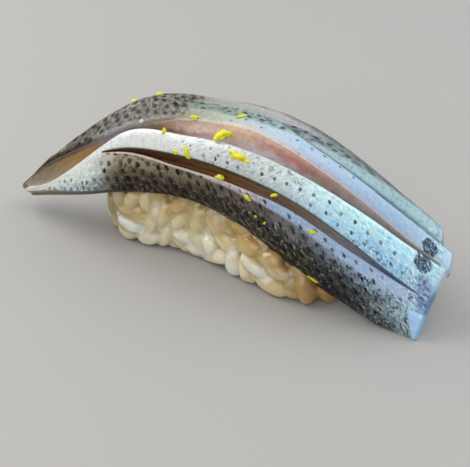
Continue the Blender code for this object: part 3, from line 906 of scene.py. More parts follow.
def head_end(skin):
    """Lay the head end's marks over a strip: pale end, partly a painted sheen, blotches, streak and the
    smooth loose flap.
    """
    tree = skin.tree
    # The pale cyan-white end is partly the silver skin and partly a painted sheen.
    mottled_end = calc(tree, "MULTIPLY_ADD", cloud(tree, skin.place, 1.2, 3.0), 1.6, skin.along)
    skin.lay((176, 214, 232), 0.9, skin.zone(mottled_end, 45.2, EVERYWHERE, 0.6),
             skin.zone(skin.across, -12.5, 2.0, 0.8))
    skin.lay((216, 222, 232), 0.6, skin.zone(skin.along, 45.7, EVERYWHERE, 0.3))
    mottle = cloud(tree, skin.place, 1.9, 2.0)
    for x, across, radius in BLOTCHES:
        patch = skin.disc(x, across, radius, 0.35)
        skin.lay((34, 54, 78), 0.95, patch)
        skin.lay((120, 150, 172), 0.7, patch, step(tree, mottle, 0.56, 0.64))
        skin.lay((18, 26, 38), 0.85, patch, step(tree, mottle, 0.46, 0.38))
    flecks = skin.strokes(1.6, 1.0, 0.6)
    end = skin.zone(skin.along, 40.5, 45.4, 1.5)
    skin.scratch(flecks, {"Dark": ((86, 130, 168), 0.5), "Pale": ((226, 246, 250), 0.6)}, end)
    skin.lay((104, 138, 176), 0.6, skin.zone(skin.along, 43.8, EVERYWHERE, 1.0),
             skin.zone(skin.across, -17.0, -9.5, 2.0))
    streak = skin.bar(*STREAK, (1.8, 3.0), 0.9)
    skin.lay((92, 124, 160), 0.8, streak)
    skin.lay((170, 180, 222), 0.9, streak, step(tree, mottle, 0.5, 0.62))
    skin.lay((40, 54, 74), 0.8, streak, step(tree, mottle, 0.45, 0.37))
    flap = skin.bar(FLAP_FROM, FLAP_TO, FLAP_WIDTHS, 0.25)
    skin.lay((164, 204, 238), 1.0, flap)
    skin.lay((186, 216, 244), 0.7, flap, step(tree, mottle, 0.5, 0.7))


def near_skin():
    """Strip A: silver at the tail, dark and dotted along the rice, silver again at the head end."""
    skin = Skin("skin near strip")
    tree = skin.tree
    skin.bands(
        (0.16, ((-46, (176, 192, 196)), (-26, (150, 164, 168)), (-21, (104, 100, 90)), (-18, (54, 46, 33)),
                (0, (36, 30, 20)), (16, (24, 20, 15)), (26, (32, 29, 24)), (35, (58, 60, 58)),
                (40, (98, 108, 112)), (46, (140, 164, 180)))),
        (0.48, ((-46, (190, 200, 200)), (-24, (190, 199, 198)), (-19, (100, 90, 72)), (-8, (70, 60, 46)),
                (4, (50, 41, 29)), (14, (40, 34, 27)), (24, (56, 53, 46)), (34, (80, 88, 90)),
                (40, (136, 158, 170)), (46, (168, 202, 224)))),
        (0.82, ((-46, (212, 220, 214)), (-26, (210, 213, 208)), (-19, (160, 148, 128)), (-8, (132, 120, 102)),
                (4, (100, 88, 76)), (14, (92, 84, 80)), (22, (122, 128, 138)), (32, (142, 164, 186)),
                (38, (148, 182, 212)), (46, (178, 210, 232)))))
    brown = skin.stretch_of(-20, 26)
    strokes = skin.strokes(1.2, 0.9, 0.4)
    skin.scratch(strokes, {"Pale": ((138, 126, 106), 0.6), "Dark": ((12, 10, 7), 0.65)}, brown)
    # Pale grey blobs over the dark skin along the rice: painted highlights of the wet skin.
    painted_wet_highlights = skin.both(skin.stretch_of(4, 30, 6.0), skin.zone(skin.share, 0.05, 0.75, 0.2))
    skin.lay((150, 152, 152), 0.75, painted_wet_highlights, step(tree, cloud(tree, skin.place, 1.3, 2.0), 0.56, 0.68))

    # The pale band below the cut widens towards the head end and turns from pinkish to blue.
    reach = spread(tree, skin.wander, -4.0, 30.0, 0.4, 2.3)
    band = over(tree, skin.far, reach)
    band = skin.both(skin.zone(band, -9.0, 1.0, 0.55), skin.stretch_of(-1, 41, 4.0))
    skin.lay((190, 182, 190), 0.75, band)
    skin.lay((156, 186, 222), 0.9, band, skin.stretch_of(15, 44, 6.0))
    fine = skin.strokes(1.8, 1.4, 0.3)
    skin.scratch(fine, {"Pale": ((214, 220, 238), 0.6), "Dark": ((110, 140, 178), 0.45)}, band)

    # Silver with dark winding flecks towards the head end.
    silver = skin.stretch_of(33, EVERYWHERE, 6.0)
    skin.lay((200, 216, 226), 0.6, silver, fine["Pale"])
    rubbed = skin.both(skin.stretch_of(24, EVERYWHERE, 6.0), skin.zone(band, -1.0, 0.5, 0.5))
    skin.lay((30, 36, 40), 0.85, rubbed, skin.winding(1.0, 0.12))

    broad = skin.spots(skin.near, (2.3, 1.75), 0.85, 1.0, 0.9, 0.2, 0.35, 0.5)
    low = skin.zone(skin.uneven, -1.0, 0.6, 0.3)
    skin.lay((14, 12, 9), 0.7, broad["Mask"], low, skin.stretch_of(-19, 34))
    size = spread(tree, skin.along, 2.0, 28.0, 0.56, 0.33)
    dots = skin.spots(skin.near, (2.3, 1.75), size, 1.25, 0.9, 0.1, 0.35)
    skin.lay((4, 4, 4), 1.0, dots["Mask"], skin.stretch_of(-22.5, 38, 1.5))
    marks = skin.both(skin.zone(skin.along, -38.0, -21.5, 2.0), skin.zone(skin.near, 0.2, 3.1, 0.4))
    silvery = skin.strokes(1.5, 0.8, 0.3)
    tail = skin.stretch_of(-EVERYWHERE, -22)
    skin.scratch(silvery, {"Dark": ((146, 158, 160), 0.55), "Pale": ((238, 242, 238), 0.6)}, tail)
    ticks = skin.spots(skin.near, (1.7, 1.5), 0.46, 1.2, 0.7, 0.1, 0.5)
    skin.lay((70, 82, 90), 0.85, ticks["Mask"], marks)
    skin.lay((70, 72, 70), 0.7, skin.zone(skin.near, -1.0, 0.3, 0.3), skin.stretch_of(-36, -18))
    skin.lay((128, 112, 90), 0.8, skin.zone(skin.near, -1.0, 0.6, 0.3), skin.stretch_of(-EVERYWHERE, -34))

    rim = skin.both(skin.zone(skin.far, -1.0, 0.4, 0.35), field(tree, "open_ab"))
    skin.lay((222, 206, 194), 0.8, rim, skin.stretch_of(-EVERYWHERE, 14, 12.0))
    skin.lay((168, 182, 204), 0.6, rim, skin.stretch_of(10, EVERYWHERE, 12.0))
    skin.height = calc(tree, "MULTIPLY_ADD", strokes["Pale"], 0.5, dots["Pocket"])
    head_end(skin)
    return skin.finish(0.0, 0.04, 0.0001, 0.14)


def belly_skin():
    """Strip B: white silver at the tail, cyan and blue towards the head end, with two rows of dots; the white
    is partly a painted highlight and the cyan and blue partly a painted sky-blue reflection.
    """
    skin = Skin("skin belly strip")
    tree = skin.tree
    # The white towards the tail is partly the silver skin and partly a painted highlight; the cyan and blue
    # towards the head end are partly the skin's own blue and partly a painted sky-blue reflection.
    skin.bands(
        (0.2, ((-46, (196, 200, 196)), (-30, (216, 220, 218)), (-16, (238, 241, 241)), (0, (214, 220, 222)),
               (10, (190, 198, 200)), (19, (180, 200, 208)), (28, (166, 216, 244)), (36, (150, 204, 240)),
               (46, (172, 214, 236)))),
        (0.8, ((-46, (206, 204, 198)), (-30, (214, 217, 214)), (-16, (228, 232, 232)), (0, (206, 211, 212)),
               (10, (200, 205, 204)), (19, (202, 222, 225)), (28, (196, 244, 248)), (36, (184, 236, 248)),
               (46, (178, 224, 242)))))
    # Fine pale strokes over the white stretch towards the tail add to its painted highlight.
    white = skin.stretch_of(-30, -4, 8.0)
    fine = skin.strokes(2.2, 0.25, 0.25)
    skin.scratch(fine, {"Dark": ((194, 198, 198), 0.55), "Pale": ((246, 246, 242), 0.6)}, white)
    mid = skin.stretch_of(-6, 22, 6.0)
    slanted = skin.strokes(1.6, 0.7, -0.9)
    skin.scratch(slanted, {"Dark": ((128, 132, 130), 0.6), "Pale": ((236, 240, 238), 0.6)}, mid)
    # Towards the head end the pale cyan-white flecks are painted glints on the silver skin, and the darker
    # blue ones are marks of the skin.
    blue = skin.stretch_of(19, EVERYWHERE, 6.0)
    flecks = skin.strokes(1.3, 1.3, 0.5)
    skin.scratch(flecks, {"Dark": ((96, 164, 216), 0.6), "Pale": ((232, 254, 254), 0.75)}, blue)
    faint = step(tree, cloud(tree, skin.place, 0.5, 2.0), 0.55, 0.68)
    skin.lay((176, 214, 222), 0.45, faint, skin.stretch_of(-16, 14))
    low = skin.both(skin.zone(skin.uneven, -1.0, 0.4, 0.3), skin.stretch_of(30, EVERYWHERE, 4.0))
    skin.lay((52, 78, 98), 0.7, low, skin.winding(1.1, 0.09))

    upper = skin.spot_row(spread(tree, skin.along, 11.0, 23.5, 1.5, 3.4), 2.4, 0.34, 2.0, 39.0)
    lower = skin.spot_row(1.45, 2.4, 0.32, 22.0, 40.0)
    skin.lay((22, 30, 34), 0.95, upper)
    skin.lay((22, 34, 42), 0.95, lower)
    marks = skin.spots(skin.near, (2.2, 1.6), 0.3, 1.0, 0.9, 0.45)
    skin.lay((70, 76, 78), 0.7, marks["Mask"], skin.stretch_of(-6, 8))
    edge_marks = skin.both(skin.zone(skin.far, 0.2, 2.0, 0.4), skin.stretch_of(9, 21))
    specks = skin.strokes(1.5, 1.0, 0.6)
    skin.lay((96, 100, 100), 0.7, specks["Dark"], edge_marks)

    skin.lay((236, 230, 216), 0.7, skin.zone(skin.far, -1.0, 0.22, 0.25))
    # A dark olive line along the near rim, where the near cut is open: painted shadow under the rim.
    olive = skin.both(skin.zone(skin.near, -1.0, 0.22, 0.2), field(tree, "open_ab"))
    skin.lay((82, 72, 44), 0.8, olive)
    skin.height = times(tree, flecks["Pale"], 0.6)
    head_end(skin)
    return skin.finish(0.12, 0.3, 0.00005, 0.35)


def dotted_back(skin, reach):
    """The dark dotted skin of the fish's back, where a mask lets it show."""
    skin.lay((106, 102, 90), 0.95, reach)
    mottle = skin.strokes(1.1, 0.9, 0.3)
    skin.scratch(mottle, {"Pale": ((166, 164, 148), 0.75), "Dark": ((44, 42, 34), 0.85)}, reach)
    dots = skin.spots(skin.across, (2.15, 1.55), 0.6, 1.2, 0.8, 0.04, 0.5)
    skin.lay((4, 4, 4), 1.0, dots["Mask"], reach)
    skin.lay((4, 4, 4), 0.8, dots["Mask"], dots["Mask"], reach)
    skin.height = times(skin.tree, dots["Pocket"], 0.9)


def dark_top(skin):
    """The dark mottled line that runs along the fillet's top from its middle on, in a dim band."""
    tree = skin.tree
    away = minus(tree, skin.across, spread(tree, skin.along, -8.0, 34.0, 0.4, 3.4))
    reach = skin.both(skin.zone(away, -1.5, 1.3, 1.0), skin.stretch_of(-9, 42, 5.0))
    skin.lay((112, 126, 122), 0.45, reach)
    clumps = step(tree, cloud(tree, skin.place, 0.7, 4.0, 0.65), 0.44, 0.6)
    skin.lay((84, 98, 98), 0.8, reach, clumps)
    dots = skin.spots(away, (2.4, 1.5), 0.7, 0.6, 1.0, 0.08)
    skin.lay((34, 44, 50), 0.95, reach, dots["Mask"])


def middle_skin():
    """Strip C: dark by the tail, lilac, green grey, then pale blue and lavender, with a pale rim."""
    skin = Skin("skin middle strip")
    tree = skin.tree
    skin.bands(
        (0.15, ((-46, (104, 92, 74)), (-30, (116, 104, 86)), (-22, (140, 138, 142)), (-14, (132, 122, 118)),
                (-8, (130, 116, 92)), (-3, (150, 158, 134)), (3, (184, 184, 174)), (12, (186, 190, 200)),
                (24, (172, 184, 210)), (36, (160, 182, 216)), (46, (176, 204, 222)))),
        (0.55, ((-46, (96, 86, 68)), (-30, (110, 104, 88)), (-20, (122, 124, 118)), (-8, (146, 152, 134)),
                (0, (162, 174, 154)), (10, (172, 196, 208)), (24, (166, 194, 220)), (36, (156, 188, 216)),
                (46, (166, 200, 218)))))
    fine = skin.strokes(1.4, 1.3, 0.2)
    skin.scratch(fine, {"Pale": ((206, 216, 228), 0.3), "Dark": ((120, 134, 150), 0.3)})
    back = skin.both(skin.zone(skin.uneven, 0.2, EVERYWHERE, 0.2), skin.stretch_of(-EVERYWHERE, -7.5, 3.0))
    tail = skin.stretch_of(-EVERYWHERE, -26, 4.0)
    dotted_back(skin, calc(tree, "MAXIMUM", back, tail))
    skin.lay((48, 42, 34), 0.8, tail, skin.zone(skin.near, -1.0, 0.9, 0.6))
    skin.lay((208, 196, 190), 0.8, skin.disc(-15.4, -5.8, 0.45))
    dashes = skin.spots(skin.far, (2.9, 2.6), 0.34, 1.1, 1.6, 0.35)
    skin.lay((64, 84, 92), 0.75, dashes["Mask"], skin.stretch_of(2, 28))
    dark_top(skin)
    rim = skin.both(skin.zone(skin.near, -1.0, 0.22, 0.25), skin.stretch_of(-8, EVERYWHERE, 3.0))
    skin.lay((226, 218, 202), 0.65, rim)
    head_end(skin)
    return skin.finish(0.0, 0.06, 0.00006, 0.18)


def far_skin():
    """Strip D: dark and dotted from the tail to the middle, pale green and blue beyond."""
    skin = Skin("skin far strip")
    tree = skin.tree
    skin.bands(
        (0.02, ((-46, (84, 74, 60)), (-34, (108, 100, 84)), (-24, (130, 124, 110)), (-12, (146, 146, 132)),
                (0, (150, 158, 146)), (14, (156, 164, 168)), (26, (150, 182, 192)), (34, (146, 182, 190)),
                (46, (170, 208, 224)))),
        (0.25, ((-46, (80, 70, 58)), (-20, (120, 118, 106)), (0, (158, 154, 152)), (14, (166, 160, 168)),
                (26, (146, 172, 178)), (46, (160, 196, 210)))),
        (0.55, ((-46, (74, 68, 60)), (-20, (78, 74, 64)), (0, (82, 78, 72)), (20, (84, 86, 86)),
                (46, (110, 124, 132)))))
    fine = skin.strokes(1.4, 0.9, 0.3)
    skin.scratch(fine, {"Pale": ((190, 200, 196), 0.35), "Dark": ((84, 92, 90), 0.35)})
    front = skin.stretch_of(-EVERYWHERE, -7.5, 3.0)
    below = skin.zone(skin.share, 0.5, EVERYWHERE, 0.2)
    dotted_back(skin, front)
    dots = skin.spots(skin.across, (2.3, 1.75), 0.45, 1.3, 0.7, 0.05, 0.4)
    skin.lay((22, 22, 21), 0.92, dots["Mask"], below)
    crest = skin.both(skin.zone(skin.across, 4.8, 7.0, 1.6), skin.stretch_of(-10, 12, 8.0))
    skin.lay((186, 178, 168), 0.4, crest)
    dark_top(skin)
    skin.lay((190, 190, 180), 0.6, skin.zone(skin.far, -1.0, 0.3, 0.25), skin.stretch_of(-30, EVERYWHERE))
    head_end(skin)
    return skin.finish(0.0, 0.04, 0.00007, 0.14)


FLESH_FINISH = {
    "Roughness": 0.38, "Specular IOR Level": 0.2, "Coat Weight": 0.12, "Coat Roughness": 0.15,
    "Subsurface Weight": 0.15, "Subsurface Radius": (1.0, 0.4, 0.3), "Subsurface Scale": 0.0008}
# Faint fibres: where they begin and are full on the noise, and what they multiply the colour by.
FIBRES = ((0.5, 0.7, (1.35, 1.3, 1.3)), (0.5, 0.32, (0.6, 0.5, 0.5)))


def flesh(name, wall, floor, top=None):
    """Cut flesh: its floor, its wall and a line at its top in their own colours, with faint fibres."""
    look, tree, shader = new_look(name)
    along, across, share = field(tree, "along"), field(tree, "across"), field(tree, "share")
    drift = minus(tree, cloud(tree, spot(tree, along, across), 0.5, 3.0), 0.5)
    level = calc(tree, "MULTIPLY_ADD", drift, 0.5, share)
    colour = tint(tree, step(tree, level, 0.46, 0.68), ramp(tree, along, floor), ramp(tree, along, wall))
    if top:
        rim = step(tree, calc(tree, "MULTIPLY_ADD", drift, 0.2, share), 0.8, 0.92)
        colour = tint(tree, rim, colour, ramp(tree, along, top))
    fibres = cloud(tree, spot(tree, along, across, 0.8, 1.5), 1.1, 4.0, 0.65)
    for start, full, change in FIBRES:
        colour = tint(tree, times(tree, step(tree, fibres, start, full), 0.45), colour, change, "MULTIPLY")
    finish_look(shader, colour, fibres, 0.0001, FLESH_FINISH)
    return look


def flesh_ab():
    """Walls of the near cut: maroon and brown, grey and blue towards the head end, with a floor darkened
    partly as painted shade and a painted shadow line at the top of the far wall.
    """
    wall = ((-26, (118, 68, 50)), (-16, (106, 66, 46)), (-6, (96, 62, 32)), (6, (126, 98, 54)),
            (14, (134, 108, 90)), (22, (150, 134, 126)), (30, (152, 150, 156)), (38, (122, 150, 182)),
            (46, (120, 150, 182)))
    # The floor: partly the flesh's own maroon and brown, and partly painted shade deep in the cut.
    floor = ((-26, (96, 42, 30)), (-10, (72, 34, 18)), (6, (104, 72, 34)), (18, (128, 102, 86)),
             (28, (142, 138, 142)), (38, (108, 134, 160)), (46, (104, 128, 156)))
    # The dark line at the top of the far wall, just under strip B's near rim: painted shadow.
    top = ((-26, (58, 50, 34)), (10, (70, 62, 34)), (20, (110, 98, 86)), (46, (110, 130, 152)))
    return flesh("flesh of the near cut", wall, floor, top)


def flesh_bc():
    """Walls of the centre cut: tan at the tail, pink and mauve beyond, and grey at its end."""
    wall = ((-46, (134, 122, 108)), (-38, (134, 118, 96)), (-32, (150, 116, 70)), (-26, (152, 112, 62)),
            (-23, (146, 138, 136)), (-18, (162, 158, 166)), (-14, (156, 144, 138)), (-11, (148, 120, 88)),
            (-8, (186, 160, 148)), (-3, (214, 192, 184)), (4, (204, 174, 152)), (10, (182, 150, 138)),
            (14, (166, 132, 124)), (17.5, (182, 118, 112)), (21, (160, 130, 120)), (25, (154, 140, 134)),
            (29, (158, 160, 156)), (36, (144, 152, 150)), (46, (138, 152, 156)))
    floor = ((-46, (140, 130, 116)), (-35, (146, 132, 108)), (-27, (160, 124, 76)), (-23, (146, 132, 124)),
             (-17, (158, 154, 160)), (-12, (130, 102, 82)), (-6, (156, 130, 124)), (4, (184, 168, 164)),
             (14, (174, 164, 172)), (26, (164, 150, 154)), (36, (148, 150, 150)), (46, (142, 152, 158)))
    top = ((-46, (84, 74, 60)), (-30, (96, 82, 66)), (-22, (132, 130, 134)), (-10, (176, 152, 138)),
           (6, (214, 190, 170)), (20, (190, 144, 132)), (46, (166, 176, 182)))
    return flesh("flesh of the centre cut", wall, floor, top)


def flesh_cd():
    """Walls of the far cut: olive and grey."""
    wall = ((10, (132, 138, 108)), (24, (120, 134, 118)), (34, (124, 146, 150)),
            (46, (160, 192, 210)))
    return flesh("flesh of the far cut", wall, wall)


def underside():
    """The flesh below the skin and at the fillet's edges, blue at its near corner, and dark over the rice
    partly as painted shade.
    """
    # Darkest in the middle over the rice and paler towards both ends: partly the flesh's colour and partly
    # painted shade under the fillet.
    tone = ((-46, (126, 112, 92)), (-26, (104, 92, 72)), (-18, (70, 60, 50)), (16, (66, 58, 52)),
            (34, (84, 86, 86)), (43.5, (136, 152, 166)), (45, (172, 190, 204)))
    look = flesh("flesh of the underside", tone, tone)
    tree = look.node_tree
    base = tree.nodes["Principled BSDF"].inputs["Base Color"]
    corner = times(tree, step(tree, field(tree, "along"), 43.0, 44.0),
                  step(tree, field(tree, "across"), -8.5, -11.0))
    below = step(tree, field(tree, "across"), -14.0, -15.5)
    blue = tint(tree, below, srgb(104, 136, 172), srgb(142, 184, 220))
    join(tree, tint(tree, corner, base.links[0].from_socket, blue), base)
    return look


# The rice

def rice_section(x):
    """Middle, half width and height of the core at x."""
    near, far, height = cubic(x, [row[0] for row in RICE_STATIONS], [row[1:] for row in RICE_STATIONS])
    return (near + far) / 2, (far - near) / 2, height


def rice_wall(x, side, z):
    """The place on one side of the core at a height."""
    middle, half, height = rice_section(x)
    out = max(1.0 - (min(z, height) / height) ** RICE_FULLNESS, 0.0) ** (1 / RICE_FULLNESS)
    return Vector((x, middle + side * half * out, z))


def wall_frame(x, side, z, lift):
    """A frame on the core's side: its x runs along the core, and its z points out of it."""
    here = rice_wall(x, side, z)
    reach = SLOPE_REACH
    along = rice_wall(x + reach, side, z) - rice_wall(x - reach, side, z)
    rise = rice_wall(x, side, z + reach) - rice_wall(x, side, max(z - reach, 0.0))
    normal = along.cross(rise).normalized() * -side
    along.normalize()
    made = Matrix((along, normal.cross(along), normal)).transposed().to_4x4()
    made.translation = here + normal * lift
    return made


GRAIN_SPACE = 2.45  # between the middles of two grains, in mm
GRAIN_PRESS = 0.9  # how deep a grain may sink into the fillet's soft underside, in mm
SHOWN_STEPS = (12, 9)  # points round a grain and rings along it, where it shows
OTHER_STEPS = (8, 6)
# How far above the core's side a grain's middle is tried, from the first to the last, in mm.
SHOWN_LIFTS = (0.8, 0.4, 0.0, -0.6)
OTHER_LIFTS = (0.5, 0.0, -0.6, -1.2)
SHOWN_FIRST_LIFT = 1.1
WHITE_LIFT = 0.5  # how much further out the whitest grains stand, in mm
OTHER_TRIES = 2600
OTHER_HEIGHTS = (0.8, 0.94)  # the lowest place in mm, and the highest as a share of the core's height
GRAIN_FLOOR = 0.05  # the lowest that rice comes to the surface below it, in mm
GERM_NOTCH = 0.86  # a grain's last ring, as a share of its girth


def grain_points(size, steps, rng):
    """Points of one cooked grain, longest along x: plump, a little bent, with a notch where its germ was."""
    length, width, height = size
    round_steps, rings = steps
    bend = rng.uniform(-0.5, 0.5)
    slim = rng.uniform(-0.12, 0.12)
    points = [Vector((-length / 2, 0, 0))]
    for ring in range(1, rings + 1):
        turn = math.pi * ring / (rings + 1)
        along = -math.cos(turn)
        girth = math.sin(turn) ** 0.72 * (1 + slim * along)
        if ring == rings:
            girth *= GERM_NOTCH
        for side in range(round_steps):
            angle = 2 * math.pi * side / round_steps
            out = 1.0 + 0.05 * math.sin(3 * angle + slim * 20)
            y = math.cos(angle) * width / 2 * girth * out
            z = math.sin(angle) * height / 2 * girth * out
            points.append(Vector((along * length / 2, y + bend * (along * along - 0.4), z)))
    points.append(Vector((length / 2, bend * 0.6, 0)))
    return points


def grain_faces(steps, first):
    """Faces of one grain, as numbers of its points."""
    round_steps, rings = steps
    faces = []
    last = first + 1 + rings * round_steps
    for side in range(round_steps):
        after = (side + 1) % round_steps
        faces.append((first, first + 1 + after, first + 1 + side))
        for ring in range(rings - 1):
            base = first + 1 + ring * round_steps
            faces.append((base + side, base + after, base + round_steps + after, base + round_steps + side))
        base = first + 1 + (rings - 1) * round_steps
        faces.append((base + side, base + after, last))
    return faces


def clear_of(points, fish, press):
    """Whether no point lies deeper in the fillet than a small press."""
    for point in points:
        nearest, normal, _, _ = fish.find_nearest(point)
        if (point - nearest).dot(normal) < -press:
            return False
    return True


def lay_grain(fish, place, turn, tip, size, lifts, steps, rng):
    """The points of one grain on the core, sunk as deep as it needs to clear the fillet, or None."""
    shape = grain_points(size, steps, rng)
    for lift in lifts:
        spot_frame = wall_frame(*place, lift) @ Matrix.Rotation(turn, 4, "Z") @ Matrix.Rotation(tip, 4, "Y")
        points = [spot_frame @ point for point in shape]
        lowest = min(point.z for point in points)
        if lowest < GRAIN_FLOOR:
            points = [point + Vector((0, 0, GRAIN_FLOOR - lowest)) for point in points]
        if clear_of(points, fish, GRAIN_PRESS):
            return points
    return None


def grain_piece(name, grains, steps):
    """Many grains as one mesh."""
    vertices, faces = [], []
    for points in grains:
        faces += grain_faces(steps, len(vertices))
        vertices += points
    data = bpy.data.meshes.new(name)
    data.from_pydata([tuple((point + SHIFT) * MM) for point in vertices], [], faces)
    made = bpy.data.objects.new(name, data)
    bpy.context.scene.collection.objects.link(made)
    return made


def fish_tree(fillet):
    """The fillet's surface in its own frame, for testing what touches it."""
    mesh = bmesh.new()
    mesh.from_mesh(fillet.data)
    bmesh.ops.scale(mesh, vec=(1 / MM, 1 / MM, 1 / MM), verts=mesh.verts[:])
    bmesh.ops.translate(mesh, vec=-SHIFT, verts=mesh.verts[:])
    made = BVHTree.FromBMesh(mesh)
    mesh.free()
    return made


def spread_grains(fish, shown):
    """Places for the rest of the grains, all round the core, kept apart from each other."""
    rng = random.Random(SEED)
    taken = [sum(points, Vector()) / len(points) for points in shown]
    grains = []
    lowest, share = OTHER_HEIGHTS
    for _ in range(OTHER_TRIES):
        x = rng.uniform(RICE_STATIONS[0][0], RICE_STATIONS[-1][0])
        side = rng.choice((-1, 1))
        height = rice_section(x)[2]
        place = (x, side, rng.uniform(lowest, share * height))
        centre = wall_frame(*place, 0.0).translation
        if any((centre - other).length < GRAIN_SPACE for other in taken):
            continue
        size = [value * rng.uniform(0.9, 1.08) for value in GRAIN_SIZE]
        turn, tip = rng.uniform(0, math.pi), rng.uniform(-0.3, 0.3)
        points = lay_grain(fish, place, turn, tip, size, OTHER_LIFTS, OTHER_STEPS, rng)
        if points:
            taken.append(centre)
            grains.append(points)
    return grains


RICE_FINISH = {
    "Roughness": 0.25, "Coat Weight": 1.0, "Coat Roughness": 0.06, "Subsurface Weight": 0.75,
    "Subsurface Radius": (1.0, 0.85, 0.5), "Subsurface Scale": 0.0022}


def rice_look():
    """Cooked rice: moist and see-through ivory, whiter in some grains, partly a painted highlight, with
    painted shade that makes it golden close to the fish and paler away from it.
    """
    look, tree, shader = new_look("rice grain")
    place = put(tree, "ShaderNodeTexCoord").outputs["Object"]
    x = put(tree, "ShaderNodeSeparateXYZ", {"Vector": place}).outputs["X"]
    broad = cloud(tree, place, 160.0, 2.0)
    colour = ramp(tree, x, ((-0.024, (146, 130, 80)), (-0.012, (196, 178, 116)), (0.002, (212, 194, 130)),
                            (0.012, (214, 194, 134)), (0.02, (196, 168, 106)), (0.028, (158, 122, 58))))
    colour = tint(tree, times(tree, field(tree, "tint"), 0.6), colour, srgb(230, 222, 190))
    # Paler away from the fillet and golden close under it: painted shade of the fillet over the rice.
    low = step(tree, calc(tree, "MULTIPLY_ADD", broad, 3.0, field(tree, "from_fish")), 6.0, 12.0)
    colour = tint(tree, times(tree, low, 0.5), colour, srgb(232, 228, 206))
    close = step(tree, calc(tree, "MULTIPLY_ADD", broad, 3.0, field(tree, "from_fish")), 8.0, 2.5)
    golden = ramp(tree, x, ((-0.024, (172, 150, 94)), (-0.012, (196, 172, 110)), (-0.004, (186, 152, 66)),
                            (0.006, (176, 140, 50)), (0.016, (180, 150, 92)), (0.028, (150, 112, 48))))
    colour = tint(tree, times(tree, close, 0.85), colour, golden)
    # The white on some grains is partly their white hearts and partly a painted bluish-white highlight.
    white = times(tree, field(tree, "whiteness_and_highlight"), field(tree, "on_grain"))
    white = times(tree, white, step(tree, broad, 0.26, 0.44))
    colour = tint(tree, white, colour, srgb(228, 234, 230))
    colour = tint(tree, times(tree, field(tree, "seam"), 0.5), colour, (0.72, 0.6, 0.36), "MULTIPLY")
    finish_look(shader, colour, cloud(tree, place, 900.0), 0.00005, RICE_FINISH)
    return look


CORE_COLUMNS = 60
CORE_ROWS = 40
CORE_SWELL = 0.35  # how much fuller the core is than the sections that the grains lie on, in mm
CORE_SHORTER = 0.8  # at each end, in mm
CORE_END_ROUND = 0.06
CORE_FLOOR = 0.05
CORE_BUMP_SIZE = 1.6
CORE_BUMP_HEIGHT = 0.45
FISH_FAR = 2.4  # further from the fillet's surface than this, in mm, a point can't be inside of it
FISH_GAP = 0.15  # between the core and the fillet, in mm
SINK_STEPS = 40
SINK_SHARE = 0.05  # of the way to the core's heart, in each step
RICE_VOXEL = 0.28
SPINES_NEAR = 9  # places on the grains' middle lines that are looked at for each point
GRAIN_BLEND = 0.35  # width of the soft border between two grains' colours, in mm
SEAM_WIDTH = 0.55
WHITE_REACH = 2.3  # how far a white grain's colour goes from its middle line, in mm


def core_point(along, out, up):
    """Where a point of a unit sphere lies on the core, and the heart of the core below it."""
    start, end = RICE_STATIONS[0][0] + CORE_SHORTER, RICE_STATIONS[-1][0] - CORE_SHORTER
    x = start + (end - start) * (along + 1) / 2
    middle, half, height = rice_section(x)
    angle = math.atan2(up, out)
    end_round = min(1.0, (1 - abs(along)) / CORE_END_ROUND) ** 0.5
    sideways = math.copysign(abs(math.cos(angle)) ** (2 / RICE_FULLNESS), math.cos(angle))
    y = middle + sideways * (half + CORE_SWELL) * end_round
    z = max(math.sin(angle), 0.0) ** (2 / RICE_FULLNESS) * (height + CORE_SWELL)
    point = Vector((x, y, max(z, CORE_FLOOR)))
    point.y += relief.noise(point / CORE_BUMP_SIZE) * CORE_BUMP_HEIGHT * math.cos(angle)
    return point, Vector((x, middle, point.z * 0.6))


def sink(point, heart, fish):
    """A point drawn towards the core's heart until it is clear of the fillet."""
    for _ in range(SINK_STEPS):
        nearest, normal, _, distance = fish.find_nearest(point)
        outside = distance > FISH_FAR or (point - nearest).dot(normal) > 0
        if outside and distance >= FISH_GAP:
            break
        point = point.lerp(heart, SINK_SHARE)
    return point


def make_core(fish):
    """The pressed core: a sphere shaped to the ball, kept under the fillet."""
    deselect()
    bpy.ops.mesh.primitive_uv_sphere_add(segments=CORE_ROWS, ring_count=CORE_COLUMNS, radius=1,
                                         rotation=(0, math.pi / 2, 0))
    made = bpy.context.object
    bpy.ops.object.transform_apply(location=True, rotation=True, scale=True)
    made.name = "rice_core"
    points = []
    for vertex in made.data.vertices:
        point = sink(*core_point(*vertex.co), fish)
        point.z = max(point.z, CORE_FLOOR)
        points.append((point + SHIFT) * MM)
    set_points(made, points)
    return made


def melt(pieces):
    """Overlapping closed meshes as one soft skin over all of them."""
    deselect()
    for piece in pieces:
        piece.select_set(True)
    bpy.context.view_layer.objects.active = pieces[0]
    bpy.ops.object.join()
    made = bpy.context.object
    modifier = made.modifiers.new("melt", "REMESH")
    modifier.mode = "VOXEL"
    modifier.voxel_size = RICE_VOXEL * MM
    bpy.ops.object.modifier_apply(modifier=modifier.name)
    bpy.ops.object.mode_set(mode="EDIT")
    bpy.ops.mesh.select_all(action="SELECT")
    bpy.ops.mesh.vertices_smooth(factor=0.5, repeat=1)
    bpy.ops.object.mode_set(mode="OBJECT")
    return made


def spine(points, steps):
    """The middles of a grain's rings, from one end to the other."""
    round_steps, rings = steps
    return [sum(points[1 + ring * round_steps:1 + (ring + 1) * round_steps], Vector()) / round_steps
            for ring in range(rings)]


def spine_tree(spines):
    """The places on all the grains' middle lines, ready to be searched, and the grain of each."""
    tree = KDTree(sum(len(points) for points in spines))
    grain_of = []
    for number, points in enumerate(spines):
        for point in points:
            tree.insert(point, len(grain_of))
            grain_of.append(number)
    tree.balance()
    return tree, grain_of


